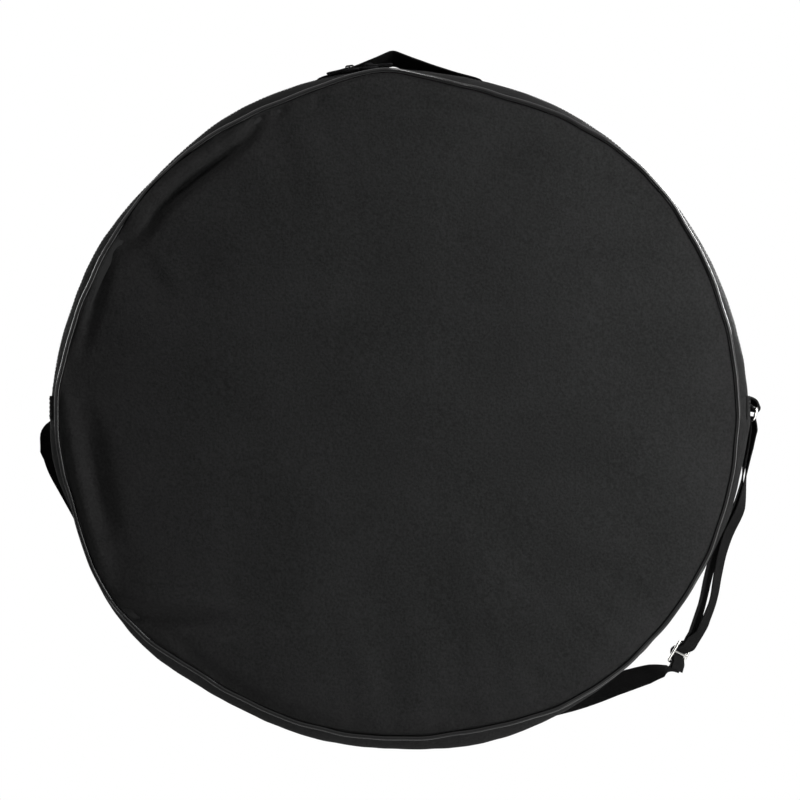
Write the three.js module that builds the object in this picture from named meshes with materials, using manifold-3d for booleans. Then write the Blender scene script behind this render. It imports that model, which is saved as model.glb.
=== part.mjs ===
// Soft round carrying bag for a daf, closed and hanging by its top handle.
// Millimetres. X runs to the right, Y from the front face to the back, Z upwards.
// The origin is the hang point, under the peak of the handle, where a hook bears.
// A turn is a share of the full circle, counter-clockwise from 3 o'clock seen from the front.
// A lean or a twist is a share of a quarter turn.
import * as THREE from "three";
import { mergeVertices } from "three/addons/utils/BufferGeometryUtils.js";
import Module from "manifold-3d";

const wasm = await Module();
wasm.setup();

// Bag body
const bag_depth = 76;
const seam_radius = 268;
const belly_swell = 12;
const panel_crown = 10;
const hinge_height = 16;
const back_seam_share = 0.985;

// Cloth, padding and lining
const clearance = 0.3;
const fabric = 1;
const foam = 4;
const lining = 0.8;

// Seams
const piping_radius = 2;
const piping_flange = 0.8;
const seam_allowance = 6;
const binding_width = 2.5;
const cord_near_shares = [0.472, 0.306, 0.167];
const cord_far_shares = [0.75, 0.875, 0, 0.083];
const cord_seat_share = 0.603;

// Zip, along the side wall from 3 o'clock over the top to 9 o'clock
const zip_set_back = 22;
const zip_opening = 9;
const tape_thickness = 0.6;
const tape_width = 12;
const coil_split = 1.6;
const coil_width = 2.6;
const coil_height = 2;

// Zip sliders and their pulls
const sliders_left_of_top = 32;
const slider_length = 15;
const slider_width = 9.5;
const slider_plate = 1.5;
const slider_post = 1;
const slider_post_length = 3;
const slider_gap = 0.6;
const bridge_length = 7.2;
const bridge_width = 2.4;
const bridge_height = 3.4;
const bridge_bar = 1.2;
const pull_length = 20;
const pull_width = 7;
const pull_thickness = 1.3;
const pull_window = 5.4;
const pull_hole_radius = 1.4;
const pull_pin_width = 1.3;

// Webbing of the handle, the ring tab and the shoulder strap
const webbing_width = 25;
const webbing_thickness = 1.3;
const webbing_set_back = 44;
const webbing_play = 1;

// Handle
const peak_rise = 12;
const peak_left_of_centre = 5.5;
const peak_fold = 2.5;
const peak_lean_share = 0.31;
const handle_end_lean_share = 0.167;
const handle_half_span = 66;
const handle_sewn_length = 13;
const handle_lift_off = 1.2;

// End tabs over the zip ends, one of them with the ring tab
const end_tab_thickness = 0.8;
const end_tab_height = 18.5;
const end_tab_width = 60;

// Ring and its webbing tab
const ring_wire = 2.5;
const ring_height = 10;
const ring_corner = 3;
const ring_stand_off = 7.3;
const ring_below_hinge = 5.5;
const ring_lean_share = 0.1;
const tab_wrap_shares = [0.67, 0.22, -0.22, -0.67, -1.11];
const tab_sewn_length = 6;

// Shoulder strap, led through the ring and back to a three-bar buckle
const strap_loop_play = 1.35;
const strap_sewn_length = 8;
const strap_layer_gap = 0.6;
const buckle_wire = 2.2;
const buckle_bar_spacing = 9.5;
const buckle_corner = 2.5;
const buckle_lead = 5.5;
const tail_length = 9;
const tail_drop = 3;

// How fine the round pieces are
const half_turn_facet_count = 24;
const wire_side_count = 8;
const corner_step_count = 3;
const turn_over_step_count = 4;
const strand_step_count = 2;
const free_run_step_count = 3;

// Outline of the front panel, every 15 degrees from 3 o'clock, as shares of the seam radius
const edge_shares = [
  1.002, 1.006, 1.015, 1.025, 1.011, 0.994, 1.015, 1.002, 0.999, 1.008, 0.991, 1,
  1.016, 1.008, 1.013, 0.985, 0.956, 0.953, 0.952, 0.957, 0.984, 0.996, 1.001, 1.001,
];

// Fullest line of the side wall in the lower half, from 9 o'clock to 3 o'clock
const lower_belly_shares = [1, 0.993, 0.996, 0.986, 0.961, 0.961, 0.957, 0.971, 0.977, 0.975, 0.982, 1, 1];

// Crown of both faces: share of the edge radius, share of the crown
const face_shares = [[0, 1], [0.55, 1], [0.83, 0.62], [1, 0]];

// Swell of the side wall: share of the way from the seam to the zip opening, share of the swell
const front_wall_shares = [[0, 0], [0.5, 0.71], [1, 1]];
const back_wall_shares = [[0, 1], [0.4, 0.81], [0.75, 0.38], [1, 0]];

// Sewn end and free run of the strap: across and up by the belly radius, back by the bag depth, twist
const strap_route_shares = [
  [-1.0165, 0.1, -0.019, 0.02],
  [-1.032, 0.11, -0.047, 0.1],
  [-1.0315, 0.15, -0.094, 0.17],
  [-1.014, 0.27, -0.15, 0.22],
  [-0.989, 0.4, -0.218, 0.33],
  [-0.957, 0.53, -0.282, 0.5],
  [-0.904, 0.63, -0.375, 0.72],
  [-0.804, 0.69, -0.518, 0.94],
  [-0.571, 0.7, -0.7, 1],
  [-0.268, 0.7, -0.836, 1],
  [0.036, 0.7, -0.886, 1],
  [0.304, 0.7, -0.882, 1],
  [0.504, 0.7, -0.85, 0.9],
  [0.643, 0.68, -0.811, 0.7],
  [0.743, 0.64, -0.771, 0.45],
  [0.789, 0.6, -0.757, 0.15],
];
const sewn_end_row_count = 3;

// Buckle: across and up by the belly radius, back by the bag depth, twist, slope of its long side
const buckle_place_shares = [0.832, 0.566, -0.704, -0.333, 0.664];

// The two strands from the buckle up to the ring: up, inner across, outer across, back, twist
const strand_shares = [
  [-0.632, 0.871, 0.894, 0.5, -0.26],
  [-0.543, 0.895, 0.925, 0.42, -0.19],
  [-0.471, 0.909, 0.939, 0.355, -0.14],
  [-0.407, 0.927, 0.959, 0.29, -0.11],
  [-0.346, 0.9635, 0.9735, 0.237, -0.09],
  [-0.275, 0.9965, 1.005, 0.171, -0.05],
  [-0.186, 1.001, 1.0095, 0.125, -0.02],
  [-0.089, 1.013, 1.022, 0.092, 0],
  [-0.036, 1.0215, 1.0375, 0.079, 0],
];

// Places that follow from the sizes
const belly_radius = seam_radius + belly_swell;
const peak_height = belly_radius + peak_rise;
const wire_inner_width = webbing_width + 2 * webbing_play;
const front_seam = -bag_depth / 2;
const back_seam = bag_depth / 2;
const zip_y = front_seam + zip_set_back;
const zip_front = zip_y - zip_opening / 2;
const zip_back = zip_y + zip_opening / 2;
const webbing_y = front_seam + webbing_set_back;
const half_webbing = webbing_thickness / 2;
const foam_depth = fabric + clearance;
const lining_depth = foam_depth + foam + clearance;
const stack = lining_depth + lining;
const wall_inset = fabric + clearance + piping_flange + clearance;
const pad_inset = stack + clearance;
const facet_sag = belly_radius * (1 - Math.cos(Math.PI / half_turn_facet_count / 2));
const end_tab_radius = belly_radius + clearance + end_tab_thickness;
const quarter_turn = Math.PI / 2;
const top_turn_share = 0.25;
const rightwards = new THREE.Vector3(1, 0, 0);
const backwards = new THREE.Vector3(0, 1, 0);
const downwards = new THREE.Vector3(0, 0, -1);

const colours = {
  cloth: { color: 0x1b1b1c, roughness: 0.85, metalness: 0 },
  piping: { color: 0x0d0d0e, roughness: 0.3, metalness: 0 },
  padding: { color: 0xd8d4c8, roughness: 0.95, metalness: 0 },
  lining: { color: 0x26272a, roughness: 0.7, metalness: 0 },
  webbing: { color: 0x101011, roughness: 0.8, metalness: 0 },
  zip: { color: 0x0e0e0f, roughness: 0.5, metalness: 0 },
  slider: { color: 0x18181a, roughness: 0.4, metalness: 0.6 },
  nickel: { color: 0xc9c9c6, roughness: 0.25, metalness: 1 },
};

const bag = new THREE.Group();

function addPiece(name, geometry, finish) {
  const mesh = new THREE.Mesh(geometry, new THREE.MeshStandardMaterial(finish));
  mesh.name = name;
  bag.add(mesh);
  return mesh;
}

// Closed geometry from points and triangles, its faces turned outwards
function closedGeometry(points, triangles) {
  const geometry = new THREE.BufferGeometry();
  geometry.setAttribute("position", new THREE.Float32BufferAttribute(points.flatMap((p) => p.toArray()), 3));
  geometry.setIndex(triangles.flat());
  const merged = mergeVertices(geometry);
  const index = Array.from(merged.index.array);
  const place = merged.attributes.position;
  const corner = (i) => new THREE.Vector3().fromBufferAttribute(place, i);
  const kept = [];
  let volume = 0;
  for (let i = 0; i < index.length; i += 3) {
    const [a, b, c] = index.slice(i, i + 3);
    if (a === b || b === c || c === a) continue;
    kept.push([a, b, c]);
    volume += corner(a).dot(corner(b).cross(corner(c)));
  }
  merged.setIndex(kept.flatMap((t) => (volume < 0 ? [t[0], t[2], t[1]] : t)));
  return merged;
}

// Skin through a row of sections, each a ring of as many points, closed on itself or capped;
// both halves of a section are split along the same diagonals, so that layers stay parallel
function loft(sections, closed = false) {
  const size = sections[0].length;
  const points = sections.flat();
  const triangles = [];
  const spans = closed ? sections.length : sections.length - 1;
  for (let i = 0; i < spans; i++) {
    const here = i * size;
    const next = ((i + 1) % sections.length) * size;
    for (let k = 0; k < size; k++) {
      const l = (k + 1) % size;
      if (k < size / 2) triangles.push([here + k, here + l, next + l], [here + k, next + l, next + k]);
      else triangles.push([here + k, here + l, next + k], [here + l, next + l, next + k]);
    }
  }
  if (!closed) {
    const last = (sections.length - 1) * size;
    for (let k = 0; k < size / 2 - 1; k++) {
      const [a, b, c, d] = [k, k + 1, size - 2 - k, size - 1 - k];
      triangles.push([a, c, b], [a, d, c]);
      triangles.push([last + a, last + b, last + c], [last + a, last + c, last + d]);
    }
  }
  return closedGeometry(points, triangles);
}

function solidOf(geometry) {
  const mesh = geometry.clone();
  mesh.deleteAttribute("normal");
  mesh.deleteAttribute("uv");
  const merged = mergeVertices(mesh);
  return new wasm.Manifold(
    new wasm.Mesh({
      numProp: 3,
      vertProperties: new Float32Array(merged.attributes.position.array),
      triVerts: new Uint32Array(merged.index.array),
    }),
  );
}

function geometryOf(solid) {
  const mesh = solid.getMesh();
  const geometry = new THREE.BufferGeometry();
  geometry.setAttribute("position", new THREE.BufferAttribute(mesh.vertProperties, 3));
  geometry.setIndex(new THREE.BufferAttribute(mesh.triVerts, 1));
  return geometry;
}

function joined(geometries) {
  return geometryOf(geometries.map(solidOf).reduce((whole, piece) => whole.add(piece)));
}

function withHole(geometry, hole) {
  return geometryOf(solidOf(geometry).subtract(solidOf(hole)));
}

// Smooth closed curve through a table of evenly spaced shares
function shareAt(table, turn) {
  const place = turn * table.length;
  const low = Math.floor(place);
  const t = place - low;
  const [a, b, c, d] = [-1, 0, 1, 2].map((step) => table[(low + step + table.length) % table.length]);
  return b + (t * (c - a + t * (2 * a - 5 * b + 4 * c - d + t * (3 * (b - c) + d - a)))) / 2;
}

// Straight lines through a table of pairs
function pairAt(table, at) {
  const found = table.findIndex(([place]) => place >= at);
  const high = Math.max(1, found < 0 ? table.length - 1 : found);
  const [[from, low], [to, top]] = [table[high - 1], table[high]];
  return low + ((at - from) / (to - from)) * (top - low);
}

function edgeRadius(turn) {
  return seam_radius * shareAt(edge_shares, turn);
}

function bellyRadius(turn) {
  if (turn <= 0.5) return belly_radius;
  const spans = lower_belly_shares.length - 1;
  const table = lower_belly_shares.map((share, i) => [0.5 + i / spans / 2, share]);
  return belly_radius * pairAt(table, turn);
}

// Outside of the side wall at a depth
function wallRadius(turn, y) {
  const belly = bellyRadius(turn);
  const front = edgeRadius(turn);
  const back = front * back_seam_share;
  if (y < zip_front) {
    const share = pairAt(front_wall_shares, (y - front_seam) / (zip_front - front_seam));
    return front + (belly - front) * share;
  }
  if (y > zip_back) {
    const share = pairAt(back_wall_shares, (y - zip_back) / (back_seam - zip_back));
    return back + (belly - back) * share;
  }
  return belly;
}

// Depths at which the side wall bends, between two depths
function wallDepths(from, to) {
  const front = front_wall_shares.map(([share]) => front_seam + share * (zip_front - front_seam));
  const back = back_wall_shares.map(([share]) => zip_back + share * (back_seam - zip_back));
  return [from, ...[...front, ...back].filter((y) => y > from && y < to), to];
}

const upper = { from: 0, to: 0.5, cut: hinge_height + clearance / 2 };
const lower = { from: 0.5, to: 1, cut: hinge_height - clearance / 2 };
const whole = { from: 0, to: 1 };

function turnsOf(part) {
  const steps = Math.round((part.to - part.from) * 2 * half_turn_facet_count);
  const turns = Array.from({ length: steps + 1 }, (_, i) => part.from + (i / steps) * (part.to - part.from));
  return part === whole ? turns.slice(0, -1) : turns;
}

// Point at a turn, a radius and a depth; the ends of the halves stop at the hinge line
function bagPoint(part, turn, radius, y) {
  const angle = turn * 2 * Math.PI;
  const at_cut = part !== whole && (turn === part.from || turn === part.to || radius === 0);
  return new THREE.Vector3(radius * Math.cos(angle), y, at_cut ? part.cut : radius * Math.sin(angle));
}

function sweepRound(part, sectionAt) {
  const sections = turnsOf(part).map((turn) => sectionAt(turn).map(([r, y]) => bagPoint(part, turn, r, y)));
  return loft(sections, part === whole);
}

// Layer of a face panel: depth under the cloth's outside, its thickness and its inset from the edge
function panelLayer(part, side, depth, thickness, inset) {
  return sweepRound(part, (turn) => {
    const edge = edgeRadius(turn) * (side > 0 ? back_seam_share : 1);
    const rim = (edge - inset) / edge;
    const rings = [...face_shares.map(([share]) => share).filter((share) => share < rim), rim];
    const surface = (share, under) =>
      side * (bag_depth / 2 + panel_crown * pairAt(face_shares, share) - under);
    const outside = rings.map((share) => [share * edge, surface(share, depth)]);
    const inside = rings.map((share) => [share * edge, surface(share, depth + thickness)]);
    return [...outside, ...inside.reverse()];
  });
}

// Layer of the side wall between two depths
function wallLayer(part, from, to, depth, thickness) {
  const depths = wallDepths(from, to);
  return sweepRound(part, (turn) => {
    const outside = depths.map((y) => [wallRadius(turn, y) - depth, y]);
    const inside = depths.map((y) => [wallRadius(turn, y) - depth - thickness, y]);
    return [...outside, ...inside.reverse()];
  });
}

// Piping cord with its sewn flange, lying in the seam of a face
function pipingRing(part, side) {
  const out_middle = clearance + piping_radius;
  const in_middle = wall_inset - clearance - piping_radius;
  const onCord = (turn) => {
    const angle = turn * 2 * Math.PI;
    return [out_middle + piping_radius * Math.cos(angle), in_middle - piping_radius * Math.sin(angle)];
  };
  const flange_near = fabric + clearance;
  const seat = [onCord(cord_seat_share)[0], flange_near];
  const near_side = [[-seam_allowance, flange_near], seat, ...cord_near_shares.map(onCord)];
  const far_side = [[-seam_allowance, flange_near + piping_flange], ...cord_far_shares.map(onCord)];
  return sweepRound(part, (turn) => {
    const edge = edgeRadius(turn) * (side > 0 ? back_seam_share : 1);
    const place = ([out, into]) => [edge + out, side * (bag_depth / 2 - into)];
    return [...near_side.map(place), ...far_side.map(place).reverse()];
  });
}

// Tape that binds the raw seam inside the corner of a face, lying on the lining
function bindingRing(part, side) {
  return sweepRound(part, (turn) => {
    const edge = edgeRadius(turn) * (side > 0 ? back_seam_share : 1);
    const radii = [edge - pad_inset, edge - pad_inset - binding_width];
    const crown = (radius) => panel_crown * pairAt(face_shares, radius / edge);
    const near = radii.map((radius) => [radius, side * (bag_depth / 2 + crown(radius) - pad_inset)]);
    const far = near.map(([radius, y]) => [radius, y - side * binding_width]);
    return [...near, ...far.reverse()];
  });
}

function addPanels() {
  const halves = { upper, lower };
  for (const [name, part] of Object.entries(halves)) {
    addPiece(`front_panel_${name}`, panelLayer(part, -1, 0, fabric, 0), colours.cloth);
    addPiece(`front_foam_${name}`, panelLayer(part, -1, foam_depth, foam, pad_inset), colours.padding);
    addPiece(`front_lining_${name}`, panelLayer(part, -1, lining_depth, lining, pad_inset), colours.lining);
    addPiece(`front_piping_${name}`, pipingRing(part, -1), colours.piping);
    addPiece(`front_seam_binding_${name}`, bindingRing(part, -1), colours.webbing);
  }
  addPiece("back_panel", panelLayer(whole, 1, 0, fabric, 0), colours.cloth);
  addPiece("back_foam", panelLayer(whole, 1, foam_depth, foam, pad_inset), colours.padding);
  addPiece("back_lining", panelLayer(whole, 1, lining_depth, lining, pad_inset), colours.lining);
  addPiece("back_piping", pipingRing(whole, 1), colours.piping);
  addPiece("back_seam_binding", bindingRing(whole, 1), colours.webbing);
}

function addSideWall() {
  const start = front_seam + wall_inset;
  const end = back_seam - wall_inset;
  addPiece("base_gusset", wallLayer(lower, start, end, 0, fabric), colours.cloth);
  addPiece("base_gusset_foam", wallLayer(lower, start, end, foam_depth, foam), colours.padding);
  addPiece("base_gusset_lining", wallLayer(lower, start, end, lining_depth, lining), colours.lining);
  const pad_start = zip_y + tape_width + clearance;
  addPiece("rear_zip_strip", wallLayer(upper, zip_back, end, 0, fabric), colours.cloth);
  addPiece("rear_zip_strip_foam", wallLayer(upper, pad_start, end, foam_depth, foam), colours.padding);
  addPiece("rear_zip_strip_lining", wallLayer(upper, pad_start, end, lining_depth, lining), colours.lining);
  const under_tape = foam_depth + tape_thickness + clearance;
  const facing_end = zip_y - slider_width / 2 - slider_gap;
  addPiece("front_zip_strip", wallLayer(upper, start, zip_front, 0, fabric), colours.cloth);
  addPiece("front_zip_strip_lining", wallLayer(upper, start, facing_end, under_tape, lining), colours.lining);
}

function addZip() {
  const near = coil_split / 2;
  const coil_under = foam_depth - clearance - coil_height;
  for (const [name, side] of [["front", -1], ["rear", 1]]) {
    const span = (from, to) => [zip_y + side * from, zip_y + side * to].sort((a, b) => a - b);
    const tape = wallLayer(upper, ...span(near, tape_width), foam_depth, tape_thickness);
    const coil = wallLayer(upper, ...span(near, near + coil_width), coil_under, coil_height);
    addPiece(`${name}_zip_tape`, tape, colours.zip);
    addPiece(`${name}_zip_coil`, coil, colours.zip);
  }
}

function box(x, y, z, centre) {
  const geometry = new THREE.BoxGeometry(x, y, z);
  return geometry.translate(centre.x, centre.y, centre.z);
}

// Slider as it stands at 12 o'clock, facing the way it closes
function sliderBody(facing) {
  const coil_top = belly_radius - foam_depth + clearance + coil_height;
  const top_under = coil_top + slider_gap;
  const tape_under = belly_radius - foam_depth - tape_thickness - facet_sag;
  const bottom_top = tape_under - slider_gap;
  const at = (x, z) => new THREE.Vector3(x, zip_y, z);
  const plate = (middle) => box(slider_length, slider_width, slider_plate, at(0, middle));
  const post_x = facing * (slider_length - slider_post_length) / 2;
  const post_middle = (top_under + bottom_top) / 2;
  const post_height = top_under - bottom_top + slider_plate;
  const post = box(slider_post_length, slider_post, post_height, at(post_x, post_middle));
  const bridge_under = top_under + slider_plate;
  const bridge_middle = bridge_under + (bridge_height - slider_plate / 2) / 2;
  const bridge_tall = bridge_height + slider_plate / 2;
  const bridge = box(bridge_length, bridge_width, bridge_tall, at(0, bridge_middle));
  const opening = bridge_height - bridge_bar;
  const pin = bridge_under + opening / 2;
  const hole = box(bridge_length - 2 * bridge_bar, 2 * bridge_width, opening, at(0, pin));
  const bottom = plate(bottom_top - slider_plate / 2);
  const top = plate(top_under + slider_plate / 2);
  return { body: joined([bottom, top, post, withHole(bridge, hole)]), pin };
}

// Pull tab hooked under the bridge, lying along the zip
function pullTab(away, pin) {
  const at = (x) => new THREE.Vector3(away * x, zip_y, pin);
  const blade = box(pull_length, pull_width, pull_thickness, at((pull_length - pull_pin_width) / 2));
  const window_length = pull_window - pull_pin_width / 2;
  const window_width = bridge_width + 2 * slider_gap;
  const window_middle = at((pull_pin_width + window_length) / 2);
  const bore = 2 * pull_thickness;
  const hole = box(window_length, window_width, bore, window_middle);
  const eye = new THREE.CylinderGeometry(pull_hole_radius, pull_hole_radius, bore, wire_side_count);
  eye.rotateX(quarter_turn);
  eye.translate(away * (pull_length - pull_pin_width / 2 - 2 * pull_hole_radius), zip_y, pin);
  return withHole(withHole(blade, hole), eye);
}

function addSliders() {
  const half_gap = (slider_length + clearance) / 2 / belly_radius;
  const meeting = -sliders_left_of_top / belly_radius;
  for (const [name, away] of [["right", 1], ["left", -1]]) {
    const { body, pin } = sliderBody(-away);
    const turned = meeting + away * half_gap;
    addPiece(`zip_slider_${name}`, body, colours.slider).rotation.y = turned;
    addPiece(`zip_pull_${name}`, pullTab(away, pin), colours.slider).rotation.y = turned;
  }
}

// Flat band through stops that each give a place and the direction of its width
function band(stops, width = webbing_width) {
  const sections = stops.map(({ at, across }, i) => {
    const before = stops[Math.max(0, i - 1)].at;
    const after = stops[Math.min(stops.length - 1, i + 1)].at;
    const along = after.clone().sub(before).normalize();
    const lift = along.clone().cross(across).normalize().multiplyScalar(half_webbing);
    const side = across.clone().multiplyScalar(width / 2);
    const corner = (s, l) => at.clone().addScaledVector(side, s).addScaledVector(lift, l);
    return [corner(1, 1), corner(-1, 1), corner(-1, -1), corner(1, -1)];
  });
  return loft(sections);
}

// Width directions along a route, turned from the Y axis by each stop's twist
function twisted(route) {
  return route.map(({ at, twist }, i) => {
    const before = route[Math.max(0, i - 1)].at;
    const after = route[Math.min(route.length - 1, i + 1)].at;
    const along = after.clone().sub(before).normalize();
    const side = backwards.clone().addScaledVector(along, -backwards.dot(along)).normalize();
    return { at, across: side.applyAxisAngle(along, twist) };
  });
}

// More stops along a smooth line through the given ones
function smoothed(route, steps) {
  const curve = new THREE.CatmullRomCurve3(route.map(({ at }) => at));
  const spans = route.length - 1;
  return Array.from({ length: spans * steps + 1 }, (_, i) => {
    const low = Math.min(spans - 1, Math.floor(i / steps));
    const t = i / steps - low;
    const twist = THREE.MathUtils.lerp(route[low].twist, route[low + 1].twist, t);
    return { at: curve.getPoint(i / spans / steps), twist };
  });
}

function flatPoint(x, z, y = webbing_y) {
  return new THREE.Vector3(x, y, z);
}

// Handle, its ends lying on the rear strip and its middle drawn up to a peak
function addHandle() {
  const sewn_radius = wallRadius(top_turn_share, webbing_y) + clearance + half_webbing;
  const onWall = (x, lift) => flatPoint(x, Math.sqrt((sewn_radius + lift) ** 2 - x ** 2));
  const peak_x = -peak_left_of_centre;
  const fold_z = (x, end) => {
    const foot = onWall(end, handle_lift_off);
    return foot.z + ((x - end) / (peak_x - end)) * (peak_height - foot.z);
  };
  const lean = (share) => backwards.clone().applyAxisAngle(rightwards, -share * quarter_turn);
  const limb = (side) => {
    const end = side * handle_half_span;
    const near = peak_x + side * peak_fold;
    return [
      { at: onWall(end + side * handle_sewn_length, 0), across: lean(handle_end_lean_share) },
      { at: onWall(end + side * handle_lift_off, 0), across: lean(handle_end_lean_share) },
      { at: onWall(end - side * handle_lift_off, handle_lift_off), across: lean(handle_end_lean_share) },
      { at: flatPoint(near, fold_z(near, end)), across: lean(peak_lean_share) },
    ];
  };
  const drop = peak_fold / handle_half_span * (peak_height - onWall(handle_half_span, 0).z) / 2;
  const peak = { at: flatPoint(peak_x, peak_height - drop), across: lean(peak_lean_share) };
  addPiece("handle", band([...limb(-1), peak, ...limb(1).reverse()]), colours.webbing);
}

// Cloth tabs sewn over the zip ends at 3 and 9 o'clock
function addEndTabs() {
  const depths = wallDepths(-end_tab_width / 2, end_tab_width / 2);
  const top = hinge_height - clearance;
  for (const [name, side, turn] of [["right", 1, 0], ["left", -1, 0.5]]) {
    const radius = (y, lift) => wallRadius(turn, y) + clearance + lift;
    const sectionAt = (z) => [
      ...depths.map((y) => new THREE.Vector3(side * radius(y, end_tab_thickness), y, z)),
      ...depths.map((y) => new THREE.Vector3(side * radius(y, 0), y, z)).reverse(),
    ];
    addPiece(`end_tab_${name}`, loft([sectionAt(top), sectionAt(top - end_tab_height)]), colours.cloth);
  }
}

// Ring of round wire with rounded corners, standing in the plane of two directions
function wireRing(centre, across, down, width, height, corner, wire) {
  const points = [];
  for (const [s, t, from] of [[1, 1, 0], [-1, 1, 1], [-1, -1, 2], [1, -1, 3]]) {
    for (let i = 0; i <= corner_step_count; i++) {
      const angle = (from + i / corner_step_count) * quarter_turn;
      points.push([
        s * (width / 2 - corner) + corner * Math.cos(angle),
        t * (height / 2 - corner) + corner * Math.sin(angle),
      ]);
    }
  }
  const normal = across.clone().cross(down).normalize();
  const place = ([a, d]) => centre.clone().addScaledVector(across, a).addScaledVector(down, d);
  const sections = points.map((point, i) => {
    const before = place(points[(i + points.length - 1) % points.length]);
    const after = place(points[(i + 1) % points.length]);
    const outward = after.sub(before).normalize().cross(normal);
    return Array.from({ length: wire_side_count }, (_, k) => {
      const angle = (k + 0.5) / wire_side_count * 2 * Math.PI;
      return place(point)
        .addScaledVector(outward, Math.cos(angle) * wire / 2)
        .addScaledVector(normal, Math.sin(angle) * wire / 2);
    });
  });
  return loft(sections, true);
}

const ring_top = flatPoint(end_tab_radius + ring_stand_off, hinge_height - ring_below_hinge);
const ring_down = downwards.clone().applyAxisAngle(backwards, -ring_lean_share * quarter_turn);
const ring_bottom = ring_top.clone().addScaledVector(ring_down, ring_height);

function addRing() {
  const middle = ring_top.clone().add(ring_bottom).divideScalar(2);
  const width = wire_inner_width + ring_wire;
  const ring = wireRing(middle, backwards, ring_down, width, ring_height, ring_corner, ring_wire);
  addPiece("strap_ring", ring, colours.nickel);
  const wrap = ring_wire / 2 + clearance + half_webbing;
  const flat_x = end_tab_radius + clearance + half_webbing;
  const top = hinge_height - 2 * clearance;
  const around = tab_wrap_shares.map((share) => {
    const angle = share * quarter_turn;
    return flatPoint(ring_top.x + wrap * Math.cos(angle), ring_top.z + wrap * Math.sin(angle));
  });
  const foot_z = top - end_tab_height + tab_sewn_length;
  const route = [
    flatPoint(flat_x, top),
    flatPoint(flat_x + half_webbing, top - 2 * half_webbing),
    ...around,
    flatPoint(flat_x, foot_z + half_webbing),
    flatPoint(flat_x, foot_z - tab_sewn_length + half_webbing),
  ];
  addPiece("strap_ring_tab", band(route.map((at) => ({ at, across: backwards }))), colours.webbing);
}

// Frame of the buckle: its centre, its long side, its width and the way its bars stand proud
function buckleFrame() {
  const [x_share, y_share, z_share, twist_share, slope_share] = buckle_place_shares;
  const centre = new THREE.Vector3(x_share * belly_radius, y_share * bag_depth, z_share * belly_radius);
  const slope = slope_share * quarter_turn;
  const along = new THREE.Vector3(Math.cos(slope), 0, Math.sin(slope));
  const across = backwards.clone().applyAxisAngle(along, twist_share * quarter_turn);
  const lift = along.clone().cross(across).normalize();
  return { centre, along, across, lift };
}

const buckle = buckleFrame();

function bucklePoint(s, h) {
  return buckle.centre.clone().addScaledVector(buckle.along, s).addScaledVector(buckle.lift, h);
}

// One layer of webbing woven through the buckle: before the end bars, behind the middle one
function weave(end_radius, middle_radius) {
  const sine = (end_radius + middle_radius) / buckle_bar_spacing;
  const cosine = Math.sqrt(1 - sine ** 2);
  const half = [
    [buckle_bar_spacing + buckle_lead, -end_radius],
    [buckle_bar_spacing, -end_radius],
    [buckle_bar_spacing - end_radius * sine, -end_radius * cosine],
    [middle_radius * sine, middle_radius * cosine],
  ];
  const lower_half = half.map(([s, h]) => [-s, h]);
  return [...lower_half, [0, middle_radius], ...half.reverse()].map(([s, h]) => bucklePoint(s, h));
}

function strandStops(outer) {
  const rows = strand_shares.map(([z_share, inner_share, outer_share, y_share, twist_share]) => ({
    at: new THREE.Vector3(
      (outer ? outer_share : inner_share) * belly_radius,
      y_share * bag_depth,
      z_share * belly_radius,
    ),
    twist: twist_share * quarter_turn,
  }));
  return twisted(smoothed(rows, strand_step_count));
}

function routeRows() {
  return strap_route_shares.map(([x_share, y_share, z_share, twist_share]) => ({
    at: new THREE.Vector3(x_share * belly_radius, y_share * bag_depth, z_share * belly_radius),
    twist: twist_share * quarter_turn,
  }));
}

function addStrap() {
  const flat_x = -(end_tab_radius + clearance + half_webbing);
  const sewn_foot = hinge_height - end_tab_height;
  const sewn_ends = [sewn_foot + strap_sewn_length, sewn_foot];
  const sewn = sewn_ends.map((z) => ({ at: flatPoint(flat_x, z), twist: 0 }));
  const rows = routeRows();
  const led_down = smoothed([sewn[1], ...rows.slice(0, sewn_end_row_count)], free_run_step_count);
  const sewn_end = twisted([sewn[0], ...led_down]);
  addPiece("strap_sewn_end", band(sewn_end), colours.webbing);

  const free_run = twisted(smoothed(rows.slice(sewn_end_row_count - 1), free_run_step_count));
  const joint = free_run[0].at;
  const onward = free_run[1].at.clone().sub(joint).normalize();
  joint.addScaledVector(onward, clearance);
  free_run[0].across = sewn_end[sewn_end.length - 1].across;

  const near = buckle_wire / 2 + clearance + half_webbing;
  const far = near + webbing_thickness + strap_layer_gap;
  const inBuckle = (points) => points.map((at) => ({ at, across: buckle.across }));
  const through = inBuckle(weave(near, far));
  const returning = inBuckle(weave(far, near).reverse());
  const tail = [1, 2].map((step) => {
    const reach = buckle_bar_spacing + buckle_lead + step * tail_length / 2;
    return bucklePoint(-reach, -far - step * tail_drop / 2);
  });
  const loop = ring_wire / 2 + strap_loop_play + half_webbing;
  const turn_over = Array.from({ length: turn_over_step_count + 1 }, (_, i) => {
    const angle = Math.PI * (1 - i / turn_over_step_count);
    const at = flatPoint(ring_bottom.x + loop * Math.cos(angle), ring_bottom.z + loop * Math.sin(angle));
    return { at, across: backwards };
  });
  const strap = [
    ...free_run,
    ...through,
    ...strandStops(false),
    ...turn_over,
    ...strandStops(true).reverse(),
    ...returning,
    ...inBuckle(tail),
  ];
  addPiece("shoulder_strap", band(strap), colours.webbing);
}

function addBuckle() {
  const width = wire_inner_width + buckle_wire;
  const height = 2 * buckle_bar_spacing;
  const { centre, across, along } = buckle;
  const frame = wireRing(centre, across, along, width, height, buckle_corner, buckle_wire);
  const bar = new THREE.CylinderGeometry(buckle_wire / 2, buckle_wire / 2, width, wire_side_count);
  bar.applyQuaternion(new THREE.Quaternion().setFromUnitVectors(backwards, across));
  bar.translate(centre.x, centre.y, centre.z);
  addPiece("strap_buckle", joined([frame, bar]), colours.nickel);
}

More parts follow.
